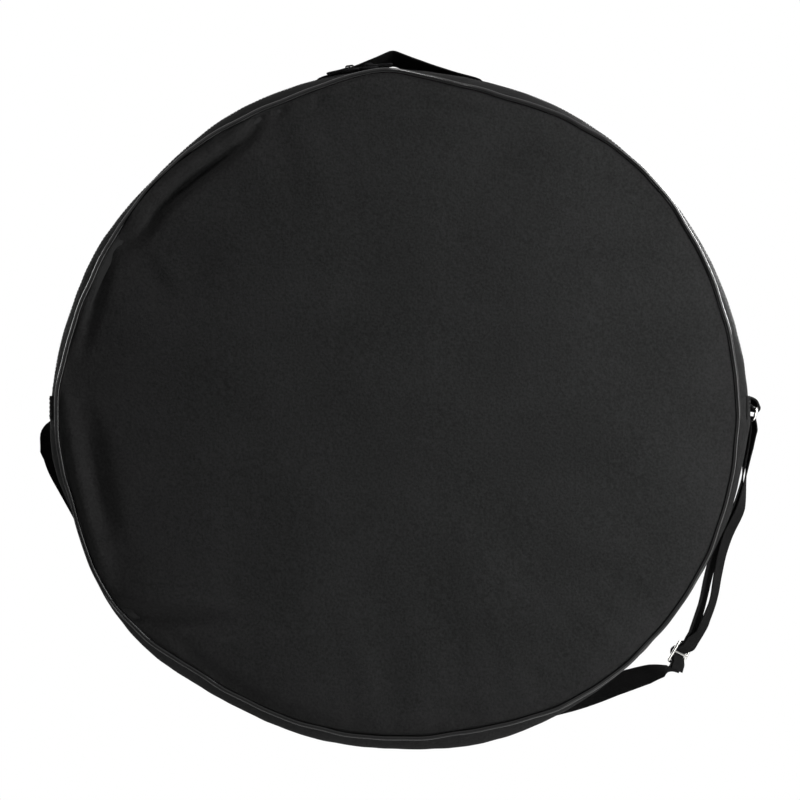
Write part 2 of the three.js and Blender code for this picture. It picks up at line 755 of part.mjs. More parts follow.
addPanels();
addSideWall();
addZip();
addSliders();
addHandle();
addEndTabs();
addRing();
addStrap();
addBuckle();

bag.position.set(peak_left_of_centre, -webbing_y, half_webbing - peak_height);

const part = new THREE.Group();
part.add(bag);

export default part;
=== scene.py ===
"""Looks of a soft round carrying bag for a daf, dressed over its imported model.

Sizes are in millimetres from the middle of the bag: X to the right, Y backwards, Z upwards.
A turn is a share of the full circle, counter-clockwise from 3 o'clock seen from the front.
"""

import sys
import logging
import math
from dataclasses import dataclass, field
from enum import Enum

import bpy
import numpy as np
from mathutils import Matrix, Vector


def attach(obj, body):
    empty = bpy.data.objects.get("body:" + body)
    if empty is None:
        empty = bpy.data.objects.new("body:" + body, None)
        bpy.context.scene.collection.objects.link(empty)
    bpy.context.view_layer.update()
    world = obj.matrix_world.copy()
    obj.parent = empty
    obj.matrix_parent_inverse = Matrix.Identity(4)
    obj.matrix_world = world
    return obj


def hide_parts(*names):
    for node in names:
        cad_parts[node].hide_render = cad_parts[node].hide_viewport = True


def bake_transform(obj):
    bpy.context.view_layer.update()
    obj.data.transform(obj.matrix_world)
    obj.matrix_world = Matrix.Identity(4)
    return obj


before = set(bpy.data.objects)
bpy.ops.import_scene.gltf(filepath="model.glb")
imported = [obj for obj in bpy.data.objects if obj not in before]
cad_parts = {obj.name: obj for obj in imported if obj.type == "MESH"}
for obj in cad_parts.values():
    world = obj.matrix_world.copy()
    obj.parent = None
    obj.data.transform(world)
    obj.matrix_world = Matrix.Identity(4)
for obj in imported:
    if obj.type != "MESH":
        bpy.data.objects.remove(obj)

Array = np.ndarray
Colour = tuple[float, float, float]
Place = tuple[float, float, float]

log = logging.getLogger("daf_bag")

MM = 0.001
ORIGIN = np.array((5.5, -6.0, -291.35))
QUARTER = math.pi / 2
RIGHTWARDS = np.array((1.0, 0.0, 0.0))
BACKWARDS = np.array((0.0, 1.0, 0.0))
DOWNWARDS = np.array((0.0, 0.0, -1.0))
WEAVE_MAP = "weave"
FACING = "facing"


class Side(Enum):
    """Face of the bag, with the sign of its outward Y."""

    FRONT = -1
    BACK = 1


class Half(Enum):
    """Stretch of the circle, as first and last turn."""

    UPPER = (0.0, 0.5)
    LOWER = (0.5, 1.0)


class Body(Enum):
    """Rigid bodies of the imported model."""

    BAG = "bag"
    FLAP = "flap"
    SLIDER_RIGHT = "slider_right"
    SLIDER_LEFT = "slider_left"
    PULL_RIGHT = "pull_right"
    PULL_LEFT = "pull_left"
    HANDLE = "handle"
    STRAP = "strap"
    RING = "ring"


class Slot(Enum):
    """Material slots of the record."""

    CLOTH = "cloth"
    PADDING = "padding"
    LINING = "lining"
    PIPING = "piping"
    WEBBING = "webbing"
    ZIP = "zip"
    SLIDER = "slider_black"
    NICKEL = "nickel"


def to_row(points: Array) -> Array:
    """Place points in the row frame.

    Args:
        points: Millimetres from the middle of the bag.

    Returns:
        The same points in the row frame, in metres.
    """
    return (np.asarray(points, float) + ORIGIN) * MM


def unit(vectors: Array) -> Array:
    """Return the vectors at length one."""
    vectors = np.asarray(vectors, float)
    return vectors / np.linalg.norm(vectors, axis=-1, keepdims=True)


def turned(vector: Array, axis: Array, angle: float) -> Array:
    """Turn a vector about an axis.

    Args:
        vector: The vector to turn.
        axis: Unit vector, by the right-hand rule.
        angle: Radians.

    Returns:
        The turned vector.
    """
    cosine, sine = math.cos(angle), math.sin(angle)
    return vector * cosine + np.cross(axis, vector) * sine + axis * (axis @ vector) * (1 - cosine)


def cubic(first: Array, leaving: Array, last: Array, arriving: Array, t: Array) -> Array:
    """Return places between two ends with given slopes, at shares of the way."""
    return (
        first * (1 + 2 * t) * (1 - t) ** 2
        + leaving * t * (1 - t) ** 2
        + last * t * t * (3 - 2 * t)
        + arriving * t * t * (t - 1)
    )


def headings(points: Array) -> Array:
    """Return the direction of a line at each of its points."""
    ahead = np.concatenate([points[1:], points[-1:]])
    behind = np.concatenate([points[:1], points[:-1]])
    return unit(ahead - behind)


def in_scene(name: str, data: bpy.types.ID) -> bpy.types.Object:
    """Return a new object with the data, linked to the scene."""
    made = bpy.data.objects.new(name, data)
    bpy.context.scene.collection.objects.link(made)
    return made


def periodic_curve(table: dict[float, float], at: Array) -> Array:
    """Read a smooth closed curve through a table of degrees and values.

    Args:
        table: Values by degrees round the circle.
        at: Turns, as shares of the full circle.

    Returns:
        A value for each turn.
    """
    knots = np.array(sorted(table)) / 360
    values = np.array([table[key] for key in sorted(table)])
    knots = np.concatenate([knots[-2:] - 1, knots, knots[:2] + 1])
    values = np.concatenate([values[-2:], values, values[:2]])
    slopes = np.gradient(values, knots)
    place = np.mod(np.asarray(at, float), 1.0)
    low = np.clip(np.searchsorted(knots, place, side="right") - 1, 0, len(knots) - 2)
    gap = knots[low + 1] - knots[low]
    t = (place - knots[low]) / gap
    return cubic(values[low], slopes[low] * gap, values[low + 1], slopes[low + 1] * gap, t)


def centripetal(points: Array, steps: int) -> Array:
    """Draw a smooth line through points.

    Args:
        points: Points that the line passes through.
        steps: Stretches of line for each gap between two points.

    Returns:
        The points of the finer line, the given ones among them.
    """
    points = np.asarray(points, float)
    padded = np.concatenate([[2 * points[0] - points[1]], points, [2 * points[-1] - points[-2]]])
    line = []
    for i in range(len(points) - 1):
        a, b, c, d = padded[i : i + 4]
        first, middle, last = (max(np.linalg.norm(q - p), 1e-6) ** 0.5 for p, q in ((a, b), (b, c), (c, d)))
        leaving = ((b - a) / first - (c - a) / (first + middle) + (c - b) / middle) * middle
        arriving = ((c - b) / middle - (d - b) / (middle + last) + (d - c) / last) * middle
        t = np.linspace(0, 1, steps, endpoint=False)[:, None]
        line.append(cubic(b, leaving, c, arriving, t))
    return np.concatenate([*line, points[-1:]])


# Finishes


class NodeTree:
    """Node tree of one material in the making."""

    def __init__(self, name: str) -> None:
        """Start a material with its standard shader."""
        self.material = bpy.data.materials.new(name)
        self.material.use_nodes = True
        self.tree = self.material.node_tree
        self.shader = self.tree.nodes["Principled BSDF"]

    def feed(self, socket: bpy.types.NodeSocket, value: object) -> None:
        """Link a socket to another one, or set its value."""
        if isinstance(value, bpy.types.NodeSocket):
            self.tree.links.new(value, socket)
        else:
            socket.default_value = value

    def add(
        self, kind: str, inputs: dict[object, object] | None = None, **settings: object
    ) -> bpy.types.Node:
        """Add a node.

        Args:
            kind: Blender's name of the node's type.
            inputs: Values or sockets by input name or number.
            **settings: Other settings of the node.

        Returns:
            The new node.
        """
        node = self.tree.nodes.new(kind)
        for key, value in settings.items():
            setattr(node, key, value)
        for key, value in (inputs or {}).items():
            self.feed(node.inputs[key], value)
        return node

    def math(self, operation: str, first: object, second: object = 0.0) -> bpy.types.NodeSocket:
        """Return the result of a sum on sockets or numbers."""
        return self.add("ShaderNodeMath", {0: first, 1: second}, operation=operation).outputs[0]

    def weighted(self, *parts: tuple[object, float]) -> bpy.types.NodeSocket:
        """Return the sum of sockets, each multiplied by its share."""
        total = None
        for socket, share in parts:
            part = self.math("MULTIPLY", socket, share)
            total = part if total is None else self.math("ADD", total, part)
        return total

    def mixed(self, factor: object, dark: Colour, light: Colour) -> bpy.types.NodeSocket:
        """Return a colour between two, by a factor."""
        node = self.add("ShaderNodeMix", data_type="RGBA")
        self.feed(node.inputs[0], factor)
        self.feed(node.inputs[6], (*dark, 1.0))
        self.feed(node.inputs[7], (*light, 1.0))
        return node.outputs[2]

    def cloth_place(self) -> tuple[bpy.types.NodeSocket, bpy.types.NodeSocket]:
        """Return the two coordinates of the piece's own cloth, in millimetres."""
        where = self.add("ShaderNodeUVMap", uv_map=WEAVE_MAP)
        parts = self.add("ShaderNodeSeparateXYZ", {0: where.outputs[0]})
        return parts.outputs[0], parts.outputs[1]

    def noise(self, size: float, detail: float = 2.0, contrast: float = 2.5) -> bpy.types.NodeSocket:
        """Return noise on the piece's place.

        Args:
            size: Millimetres across a blot.
            detail: Octaves of finer noise.
            contrast: How far the blots are spread about their middle value.

        Returns:
            The socket of the noise, from 0 to 1.
        """
        place = self.add("ShaderNodeTexCoord").outputs["Object"]
        inputs = {"Vector": place, "Scale": 1 / (size * MM), "Detail": detail}
        blots = self.add("ShaderNodeTexNoise", inputs).outputs[0]
        limits = {1: 0.5 - 0.5 / contrast, 2: 0.5 + 0.5 / contrast}
        return self.add("ShaderNodeMapRange", {0: blots, **limits}, clamp=True).outputs[0]

    def ridge(self, place: object) -> bpy.types.NodeSocket:
        """Return round ridges, one for each whole number of the place."""
        return self.math("ABSOLUTE", self.math("SINE", self.math("MULTIPLY", place, math.pi)))

    def bump(self, height: bpy.types.NodeSocket, depth: float, strength: float) -> None:
        """Raise the shader's surface by a height.

        Args:
            height: Socket of the height, from 0 to 1.
            depth: Millimetres from lowest to highest.
            strength: Share of the effect.
        """
        inputs = {"Height": height, "Distance": depth * MM, "Strength": strength}
        node = self.add("ShaderNodeBump", inputs)
        self.feed(self.shader.inputs["Normal"], node.outputs[0])

    def set(self, **values: object) -> None:
        """Set sockets of the shader, with underscores for spaces in their names."""
        for key, value in values.items():
            self.feed(self.shader.inputs[key.replace("_", " ")], value)


def shaded(colour: Colour, share: float) -> Colour:
    """Return a colour made darker or lighter by a factor."""
    return tuple(min(1.0, part * share) for part in colour)


@dataclass(frozen=True)
class WovenCloth:
    """Plain weave, with uneven threads, slow changes of tone and painted shade in the pits between the
    threads.
    """

    name: str
    colour: Colour
    thread: float = 0.55
    blot: float = 2.0
    roughness: float = 0.55
    specular: float = 0.01
    grain: float = 0.45
    relief: float = 0.36
    unevenness: float = 2.4
    slow_blot: float = 60.0
    uneven_blot: float = 7.0
    tone_shares: tuple[float, float, float] = (0.6, 0.2, 0.2)
    relief_shares: tuple[float, float] = (0.4, 0.6)
    wear: float = 0.2

    def make(self) -> bpy.types.Material:
        """Build the material."""
        nodes = NodeTree(self.name)
        along, across = nodes.cloth_place()
        warp = nodes.math("DIVIDE", along, self.thread)
        weft = nodes.math("DIVIDE", across, self.thread)
        place = nodes.add("ShaderNodeCombineXYZ", {0: warp, 1: weft, 2: 0.5})
        over = nodes.add("ShaderNodeTexChecker", {"Vector": place.outputs[0], "Scale": 1.0}).outputs["Fac"]
        under = nodes.math("SUBTRACT", 1.0, over)
        height = nodes.math(
            "ADD",
            nodes.math("MULTIPLY", over, nodes.ridge(warp)),
            nodes.math("MULTIPLY", under, nodes.ridge(weft)),
        )
        grain = nodes.noise(self.blot, 3.0)
        slow = nodes.noise(self.slow_blot)
        # The weave's height darkens the colour in the pits between the threads: painted shade, mixed with the
        # random grain and slow blots of the cloth's own tone.
        tone = nodes.weighted(*zip((grain, height, slow), self.tone_shares))
        colour = nodes.mixed(tone, shaded(self.colour, 1 - self.grain), shaded(self.colour, 1 + self.grain))
        worn = nodes.math("MULTIPLY", nodes.math("SUBTRACT", grain, 0.5), self.wear)
        nodes.set(Base_Color=colour, Roughness=nodes.math("ADD", worn, self.roughness))
        nodes.set(Specular_IOR_Level=self.specular)
        uneven = nodes.noise(self.uneven_blot, 2.0, 1.2)
        shares = (*self.relief_shares, self.unevenness)
        nodes.bump(nodes.weighted(*zip((height, grain, uneven), shares)), self.relief, 0.8)
        return nodes.material


@dataclass(frozen=True)
class RibbedWebbing:
    """Heavy webbing, woven in slanting ribs with a firm edge, with painted light on the crests of its ribs
    and painted shade in their grooves.
    """

    name: str
    colour: Colour
    rib: float = 1.3
    column: float = 4.2
    roughness: float = 0.8
    specular: float = 0.008
    relief: float = 0.4
    fuzz: float = 1.8
    rib_share: float = 0.7

    def make(self) -> bpy.types.Material:
        """Build the material."""
        nodes = NodeTree(self.name)
        along, across = nodes.cloth_place()
        wave = nodes.math("PINGPONG", nodes.math("ADD", across, 100 * self.column), self.column / 2)
        slant = nodes.math("ADD", along, wave)
        ribs = nodes.ridge(nodes.math("DIVIDE", slant, self.rib))
        columns = nodes.ridge(nodes.math("DIVIDE", across, self.column / 2))
        height = nodes.weighted((ribs, self.rib_share), (columns, 1 - self.rib_share))
        # Half the tone is the rib height: painted light on the crests and painted shade in the grooves; the
        # other half is random fuzz.
        tone = nodes.weighted((height, 0.5), (nodes.noise(self.fuzz, 3.0), 0.5))
        nodes.set(Base_Color=nodes.mixed(tone, shaded(self.colour, 0.5), shaded(self.colour, 1.6)))
        nodes.set(Roughness=self.roughness, Specular_IOR_Level=self.specular)
        nodes.bump(height, self.relief, 0.6)
        return nodes.material


@dataclass(frozen=True)
class GlossyVinyl:
    """Smooth vinyl drawn tight over a cord."""

    name: str
    colour: Colour
    roughness: float = 0.13
    specular: float = 0.26

    def make(self) -> bpy.types.Material:
        """Build the material."""
        nodes = NodeTree(self.name)
        soft = nodes.noise(6.0, 3.0, 1.5)
        nodes.set(Base_Color=nodes.mixed(soft, shaded(self.colour, 0.7), shaded(self.colour, 1.4)))
        worn = nodes.math("MULTIPLY", nodes.math("SUBTRACT", soft, 0.5), 0.1)
        nodes.set(Roughness=nodes.math("ADD", worn, self.roughness), Specular_IOR_Level=self.specular)
        nodes.bump(soft, 0.12, 0.3)
        return nodes.material


@dataclass(frozen=True)
class Metal:
    """Plated or blackened metal with fine wear."""

    name: str
    colour: Colour
    metallic: float = 1.0
    roughness: float = 0.18
    specular: float = 0.5

    def make(self) -> bpy.types.Material:
        """Build the material."""
        nodes = NodeTree(self.name)
        wear = nodes.noise(1.2, 5.0)
        nodes.set(Base_Color=nodes.mixed(wear, shaded(self.colour, 0.85), shaded(self.colour, 1.1)))
        rough = nodes.math("ADD", nodes.math("MULTIPLY", wear, 0.18), self.roughness - 0.08)
        nodes.set(Metallic=self.metallic, Roughness=rough, Specular_IOR_Level=self.specular)
        nodes.bump(wear, 0.02, 0.3)
        return nodes.material


@dataclass(frozen=True)
class OpenFoam:
    """Pale foam with fine cells, each with painted shade in its hollow middle."""

    name: str
    colour: Colour
    cell: float = 1.1

    def make(self) -> bpy.types.Material:
        """Build the material."""
        nodes = NodeTree(self.name)
        place = nodes.add("ShaderNodeTexCoord").outputs["Object"]
        inputs = {"Vector": place, "Scale": 1 / (self.cell * MM)}
        cells = nodes.add("ShaderNodeTexVoronoi", inputs).outputs["Distance"]
        # Each cell is darker towards its middle, the lowest place of the bump: painted shade in the cell's
        # hollow.
        nodes.set(Base_Color=nodes.mixed(cells, shaded(self.colour, 0.75), self.colour))
        nodes.set(Roughness=0.95, Specular_IOR_Level=0.1)
        nodes.bump(cells, 0.2, 0.5)
        return nodes.material


@dataclass(frozen=True)
class Finishes:
    """All the finishes of the bag, by what they cover."""

    cloth: bpy.types.Material
    lining: bpy.types.Material
    padding: bpy.types.Material
    piping: bpy.types.Material
    webbing: bpy.types.Material
    strap: bpy.types.Material
    tape: bpy.types.Material
    coil: bpy.types.Material
    thread: bpy.types.Material
    blackened: bpy.types.Material
    nickel: bpy.types.Material


def make_finishes() -> Finishes:
    """Build every finish once."""
    return Finishes(
        cloth=WovenCloth("oxford_cloth", (0.0145, 0.0145, 0.0145)).make(),
        lining=WovenCloth(
            "taffeta_lining", (0.02, 0.02, 0.022), thread=0.3, roughness=0.5, relief=0.05
        ).make(),
        padding=OpenFoam("padding_foam", (0.69, 0.66, 0.58)).make(),
        piping=GlossyVinyl("piping_vinyl", (0.004, 0.004, 0.004)).make(),
        webbing=RibbedWebbing("handle_webbing", (0.009, 0.009, 0.009)).make(),
        strap=RibbedWebbing("strap_webbing", (0.0065, 0.0065, 0.0065)).make(),
        tape=WovenCloth("zip_tape", (0.005, 0.005, 0.0055), thread=0.4, roughness=0.75).make(),
        coil=GlossyVinyl("zip_nylon", (0.005, 0.005, 0.0055), roughness=0.5, specular=0.05).make(),
        thread=GlossyVinyl("sewing_thread", (0.007, 0.007, 0.0075), roughness=0.6, specular=0.05).make(),
        blackened=Metal(
            "black_enamel", (0.008, 0.008, 0.0085), metallic=0.0, roughness=0.45, specular=0.04
        ).make(),
        nickel=Metal("bright_nickel", (0.7, 0.69, 0.66)).make(),
    )


# Meshes


@dataclass
class Shell:
    """Closed mesh in the making."""

    points: Array
    faces: list[tuple[int, ...]]
    weave: list[tuple[tuple[float, float], ...]]

    def face_outwards(self) -> None:
        """Turn every face round if the mesh is inside out."""
        volume = 0.0
        for size in {len(face) for face in self.faces}:
            chosen = np.array([face for face in self.faces if len(face) == size])
            corners = self.points[chosen]
            for k in range(1, size - 1):
                crossed = np.cross(corners[:, k], corners[:, k + 1])
                volume += float((corners[:, 0] * crossed).sum())
        if volume < 0:
            self.faces = [face[::-1] for face in self.faces]
            self.weave = [corner[::-1] for corner in self.weave]

    def piece(self, name: str, finish: bpy.types.Material, sharp: float = 50.0) -> bpy.types.Object:
        """Make the object of this mesh.

        Args:
            name: Name of the piece.
            finish: Its material.
            sharp: Degrees between two faces from which their edge is sharp.

        Returns:
            The object, at the origin, with its place in its mesh.
        """
        self.face_outwards()
        mesh = bpy.data.meshes.new(name)
        mesh.from_pydata(to_row(self.points).tolist(), [], [list(face) for face in self.faces])
        flat = np.array([part for face in self.weave for corner in face for part in corner])
        mesh.uv_layers.new(name=WEAVE_MAP).data.foreach_set("uv", flat)
        mesh.shade_smooth()
        mesh.set_sharp_from_angle(angle=math.radians(sharp))
        mesh.materials.append(finish)
        return in_scene(name, mesh)


def merged(*shells: Shell) -> Shell:
    """Put several closed meshes into one."""
    offsets = np.cumsum([0, *[len(shell.points) for shell in shells]])
    for shell in shells:
        shell.face_outwards()
    faces = [
        tuple(index + int(offset) for index in face)
        for shell, offset in zip(shells, offsets)
        for face in shell.faces
    ]
    weave = [corner for shell in shells for corner in shell.weave]
    return Shell(np.concatenate([shell.points for shell in shells]), faces, weave)


def sweep(sections: Array, along: Array, across: Array, closed: bool = False) -> Shell:
    """Draw a skin through a row of closed sections.

    Args:
        sections: Points by section and by place in it.
        along: The cloth's coordinate of each section, with one more where the row closes.
        across: The cloth's coordinate round a section, with one more than its points.
        closed: Whether the last section joins the first.

    Returns:
        The closed mesh.
    """
    rows, size = sections.shape[:2]
    faces, weave = [], []
    for i in range(rows if closed else rows - 1):
        j = (i + 1) % rows
        for k in range(size):
            m = (k + 1) % size
            faces.append((i * size + k, i * size + m, j * size + m, j * size + k))
            weave.append(
                (
                    (along[i], across[k]),
                    (along[i], across[k + 1]),
                    (along[i + 1], across[k + 1]),
                    (along[i + 1], across[k]),
                )
            )
    if not closed:
        last = (rows - 1) * size
        for face in (tuple(range(size))[::-1], tuple(last + k for k in range(size))):
            faces.append(face)
            weave.append(tuple((0.0, float(across[k % size])) for k in face))
    return Shell(sections.reshape(-1, 3), faces, weave)


def lengths(points: Array) -> Array:
    """Return how far along the line each point is."""
    return np.concatenate([[0.0], np.cumsum(np.linalg.norm(np.diff(points, axis=0), axis=1))])


@dataclass
class Disc:
    """Net of triangles over a unit disc, closer towards its edge."""

    rings: int = 66
    closing: float = 1.3
    shares: Array = field(init=False)
    turns: Array = field(init=False)
    triangles: list[tuple[int, int, int]] = field(init=False)

    def __post_init__(self) -> None:
        """Lay out the rings and the triangles between them."""
        shares, turns, triangles = [0.0], [0.0], []
        for ring in range(1, self.rings + 1):
            count = 6 * ring
            shares += [1 - (1 - ring / self.rings) ** self.closing] * count
            turns += [k / count for k in range(count)]
            start, inside = self.first(ring), self.first(ring - 1)
            for sector in range(6):
                for k in range(ring):
                    outer = start + sector * ring + k
                    after = start + (sector * ring + k + 1) % count
                    below = inside + (sector * (ring - 1) + k) % max(6 * (ring - 1), 1)
                    triangles.append((below, outer, after))
                    if k < ring - 1:
                        beside = inside + (sector * (ring - 1) + k + 1) % (6 * (ring - 1))
                        triangles.append((below, after, beside))
        self.shares, self.turns, self.triangles = np.array(shares), np.array(turns), triangles

    @staticmethod
    def first(ring: int) -> int:
        """Return the number of the first point of a ring."""
        return 0 if ring == 0 else 1 + 3 * ring * (ring - 1)

    def rim(self) -> list[int]:
        """Return the points of the outermost ring."""
        return list(range(self.first(self.rings), len(self.shares)))


# Repeated small pieces


def bead_tree() -> bpy.types.NodeTree:
    """Build the nodes that set a row of beads along a path.

    Returns:
        A tree with the inputs Path, Spacing, Length, Width, Height, Waver, Seed and Finish.
    """
    tree = bpy.data.node_groups.new("beads_along_path", "GeometryNodeTree")
    tree.interface.new_socket("Path", in_out="INPUT", socket_type="NodeSocketGeometry")
    for name in ("Spacing", "Length", "Width", "Height", "Waver"):
        tree.interface.new_socket(name, in_out="INPUT", socket_type="NodeSocketFloat")
    tree.interface.new_socket("Seed", in_out="INPUT", socket_type="NodeSocketInt")
    tree.interface.new_socket("Finish", in_out="INPUT", socket_type="NodeSocketMaterial")
    tree.interface.new_socket("Beads", in_out="OUTPUT", socket_type="NodeSocketGeometry")

    def add(kind: str, inputs: dict[object, object], **settings: object) -> bpy.types.Node:
        """Add a node with its settings, values and links."""
        node = tree.nodes.new(kind)
        for key, value in settings.items():
            setattr(node, key, value)
        for key, value in inputs.items():
            if isinstance(value, bpy.types.NodeSocket):
                tree.links.new(value, node.inputs[key])
            else:
                node.inputs[key].default_value = value
        return node

    given = add("NodeGroupInput", {}).outputs
    curve = add("GeometryNodeMeshToCurve", {0: given["Path"]})
    even = add("GeometryNodeResampleCurve", {"Curve": curve.outputs[0]}, mode="LENGTH")
    tree.links.new(given["Spacing"], even.inputs["Length"])
    tangent = add("GeometryNodeInputTangent", {})
    facing = add("GeometryNodeInputNamedAttribute", {"Name": FACING}, data_type="FLOAT_VECTOR")
    lengthwise = add("FunctionNodeAlignRotationToVector", {"Vector": tangent.outputs[0]}, axis="X")
    upright = add(
        "FunctionNodeAlignRotationToVector",
        {"Rotation": lengthwise.outputs[0], "Vector": facing.outputs[0]},
        axis="Z",
        pivot_axis="X",
    )
    size = add("ShaderNodeCombineXYZ", {0: given["Length"], 1: given["Width"], 2: given["Height"]})
    bead = add("GeometryNodeMeshUVSphere", {"Segments": 8, "Rings": 5, "Radius": 0.5})
    placed = add(
        "GeometryNodeInstanceOnPoints",
        {
            "Points": even.outputs[0],
            "Instance": bead.outputs[0],
            "Rotation": upright.outputs[0],
            "Scale": size.outputs[0],
        },
    )
    low, high = (
        add("ShaderNodeVectorMath", {0: (way, way, way), 3: given["Waver"]}, operation="SCALE")
        for way in (-1.0, 1.0)
    )
    astray = add(
        "FunctionNodeRandomValue",
        {0: low.outputs[0], 1: high.outputs[0], "Seed": given["Seed"]},
        data_type="FLOAT_VECTOR",
    )
    shifted = add("GeometryNodeTranslateInstances", {0: placed.outputs[0], "Translation": astray.outputs[0]})
    real = add("GeometryNodeRealizeInstances", {0: shifted.outputs[0]})
    smooth = add("GeometryNodeSetShadeSmooth", {0: real.outputs[0]})
    dressed = add("GeometryNodeSetMaterial", {0: smooth.outputs[0], "Material": given["Finish"]})
    add("NodeGroupOutput", {0: dressed.outputs[0]})
    return tree


@dataclass
class Path:
    """Line in space with the direction that its beads face."""

    points: Array
    facing: Array


@dataclass
class BeadRow:
    """Rows of stitches or zip teeth, set along paths by geometry nodes."""

    name: str
    paths: list[Path]
    spacing: float
    size: tuple[float, float, float]
    finish: bpy.types.Material
    waver: float = 0.0
    seed: int = 7

    def make(self, tree: bpy.types.NodeTree) -> bpy.types.Object:
        """Run the tree on the paths.

        Args:
            tree: The tree of bead_tree.

        Returns:
            A plain mesh object with all the beads.
        """
        points, edges, facing = [], [], []
        for path in self.paths:
            start = len(points)
            points += to_row(path.points).tolist()
            facing += np.broadcast_to(path.facing, path.points.shape).tolist()
            edges += [(start + k, start + k + 1) for k in range(len(path.points) - 1)]
        guide = bpy.data.meshes.new(self.name + "_path")
        guide.from_pydata(points, edges, [])
        layer = guide.attributes.new(FACING, "FLOAT_VECTOR", "POINT")
        layer.data.foreach_set("vector", np.array(facing).ravel())
        carrier = in_scene(self.name + "_path", guide)
        modifier = carrier.modifiers.new("beads", "NODES")
        modifier.node_group = tree
        length, width, height = (side * MM for side in self.size)
        wanted = {
            "Spacing": self.spacing * MM,
            "Length": length,
            "Width": width,
            "Height": height,
            "Waver": self.waver * MM,
            "Seed": self.seed,
            "Finish": self.finish,
        }
        for item in tree.interface.items_tree:
            if item.name in wanted and item.in_out == "INPUT":
                modifier[item.identifier] = wanted[item.name]
        graph = bpy.context.evaluated_depsgraph_get()
        mesh = bpy.data.meshes.new_from_object(carrier.evaluated_get(graph))
        mesh.name = self.name
        carrier.modifiers.remove(modifier)
        bpy.data.objects.remove(carrier)
        bpy.data.meshes.remove(guide)
        return in_scene(self.name, mesh)


# The bag's form


@dataclass
class Fold:
    """Crease in the face, along a line in X and Z."""

    line: list[tuple[float, float]]
    depth: float
    width: float
    slack: float = 0.0
    slack_width: float = 10.0
    slack_side: float = 1.0

    def height(self, x: Array, z: Array) -> Array:
        """Return how far the fold lifts the cloth outwards at each place."""
        line = centripetal(np.array([(a, 0.0, b) for a, b in self.line]), 6)[:, [0, 2]]
        total = lengths(line)
        best = np.full(x.shape, 1e9)
        signed, along = np.zeros(x.shape), np.zeros(x.shape)
        for (a, b), start in zip(zip(line[:-1], line[1:]), total[:-1]):
            span = b - a
            size = np.linalg.norm(span)
            t = np.clip(((x - a[0]) * span[0] + (z - a[1]) * span[1]) / size**2, 0, 1)
            dx, dz = x - a[0] - t * span[0], z - a[1] - t * span[1]
            away = np.hypot(dx, dz)
            nearer = away < best
            side = np.sign(span[0] * dz - span[1] * dx)
            best = np.where(nearer, away, best)
            signed = np.where(nearer, side * away, signed)
            along = np.where(nearer, (start + t * size) / total[-1], along)
        taper = np.sin(np.pi * np.clip(along, 0, 1)) ** 1.2
        lift = -self.depth * np.exp(-((best / self.width) ** 2))
        crest = signed * self.slack_side - self.width - self.slack_width / 2
        lift = lift + self.slack * np.exp(-((crest / self.slack_width) ** 2))
        return lift * taper


FRONT_FOLDS = [
    Fold([(-104, 262), (-113, 240), (-119, 226), (-140, 209), (-169, 188), (-190, 168), (-207, 146),
          (-226, 136), (-246, 132)], 10.5, 5.5, 6.5, 8.0, -1.0),
    Fold([(-150, 216), (-165, 205), (-186, 187), (-200, 172)], 2.2, 2.4),
    Fold([(-224, 154), (-235, 122), (-246, 80), (-258, 36)], 5.0, 6.0, 4.0, 6.0, -1.0),
    Fold([(-258, 44), (-250, 0), (-240, -51), (-229, -96), (-221, -122), (-220, -146)],
         7.0, 12.0, 5.0, 7.0, -1.0),
    Fold([(-300, -146), (-245, -154), (-205, -159), (-155, -163), (-105, -168)], 7.0, 8.0, 4.0, 7.0, 1.0),
    Fold([(-150, -206), (-110, -196), (-80, -188), (-28, -180)], 2.0, 9.0, 1.8, 7.0, 1.0),
    Fold([(-150, 214), (-139, 226), (-136, 240)], 2.0, 5.0),
    Fold([(-102, 238), (-95, 247), (-94, 256)], 2.4, 4.0, 1.4, 4.0, 1.0),
    Fold([(-72, 244), (-66, 252), (-64, 264)], 2.2, 4.0, 1.4, 4.0, 1.0),
    Fold([(-20, 244), (30, 246), (98, 230)], 1.8, 8.0, 2.2, 8.0, 1.0),
    Fold([(-212, 136), (-196, 112), (-184, 88)], 2.2, 9.0, 0.8, 8.0, 1.0),
    Fold([(216, -112), (190, -90), (160, -76)], 1.4, 10.0),
    Fold([(-30, -238), (20, -232), (76, -240)], 2.0, 8.0),
    Fold([(-196, -160), (-160, -195), (-127, -217), (-84, -238), (-40, -248)], 5.0, 5.5),
]

BACK_FOLDS = [
    Fold([(120, 236), (160, 196), (214, 140)], 3.0, 10.0, 1.5, 12.0, 1.0),
    Fold([(-236, -60), (-214, -110), (-176, -166)], 2.6, 12.0, 1.4, 12.0, -1.0),
    Fold([(60, -226), (120, -200), (170, -170)], 1.8, 10.0, 0.8, 10.0, 1.0),
    Fold([(-60, 244), (-20, 236), (30, 243)], 1.4, 9.0),
]


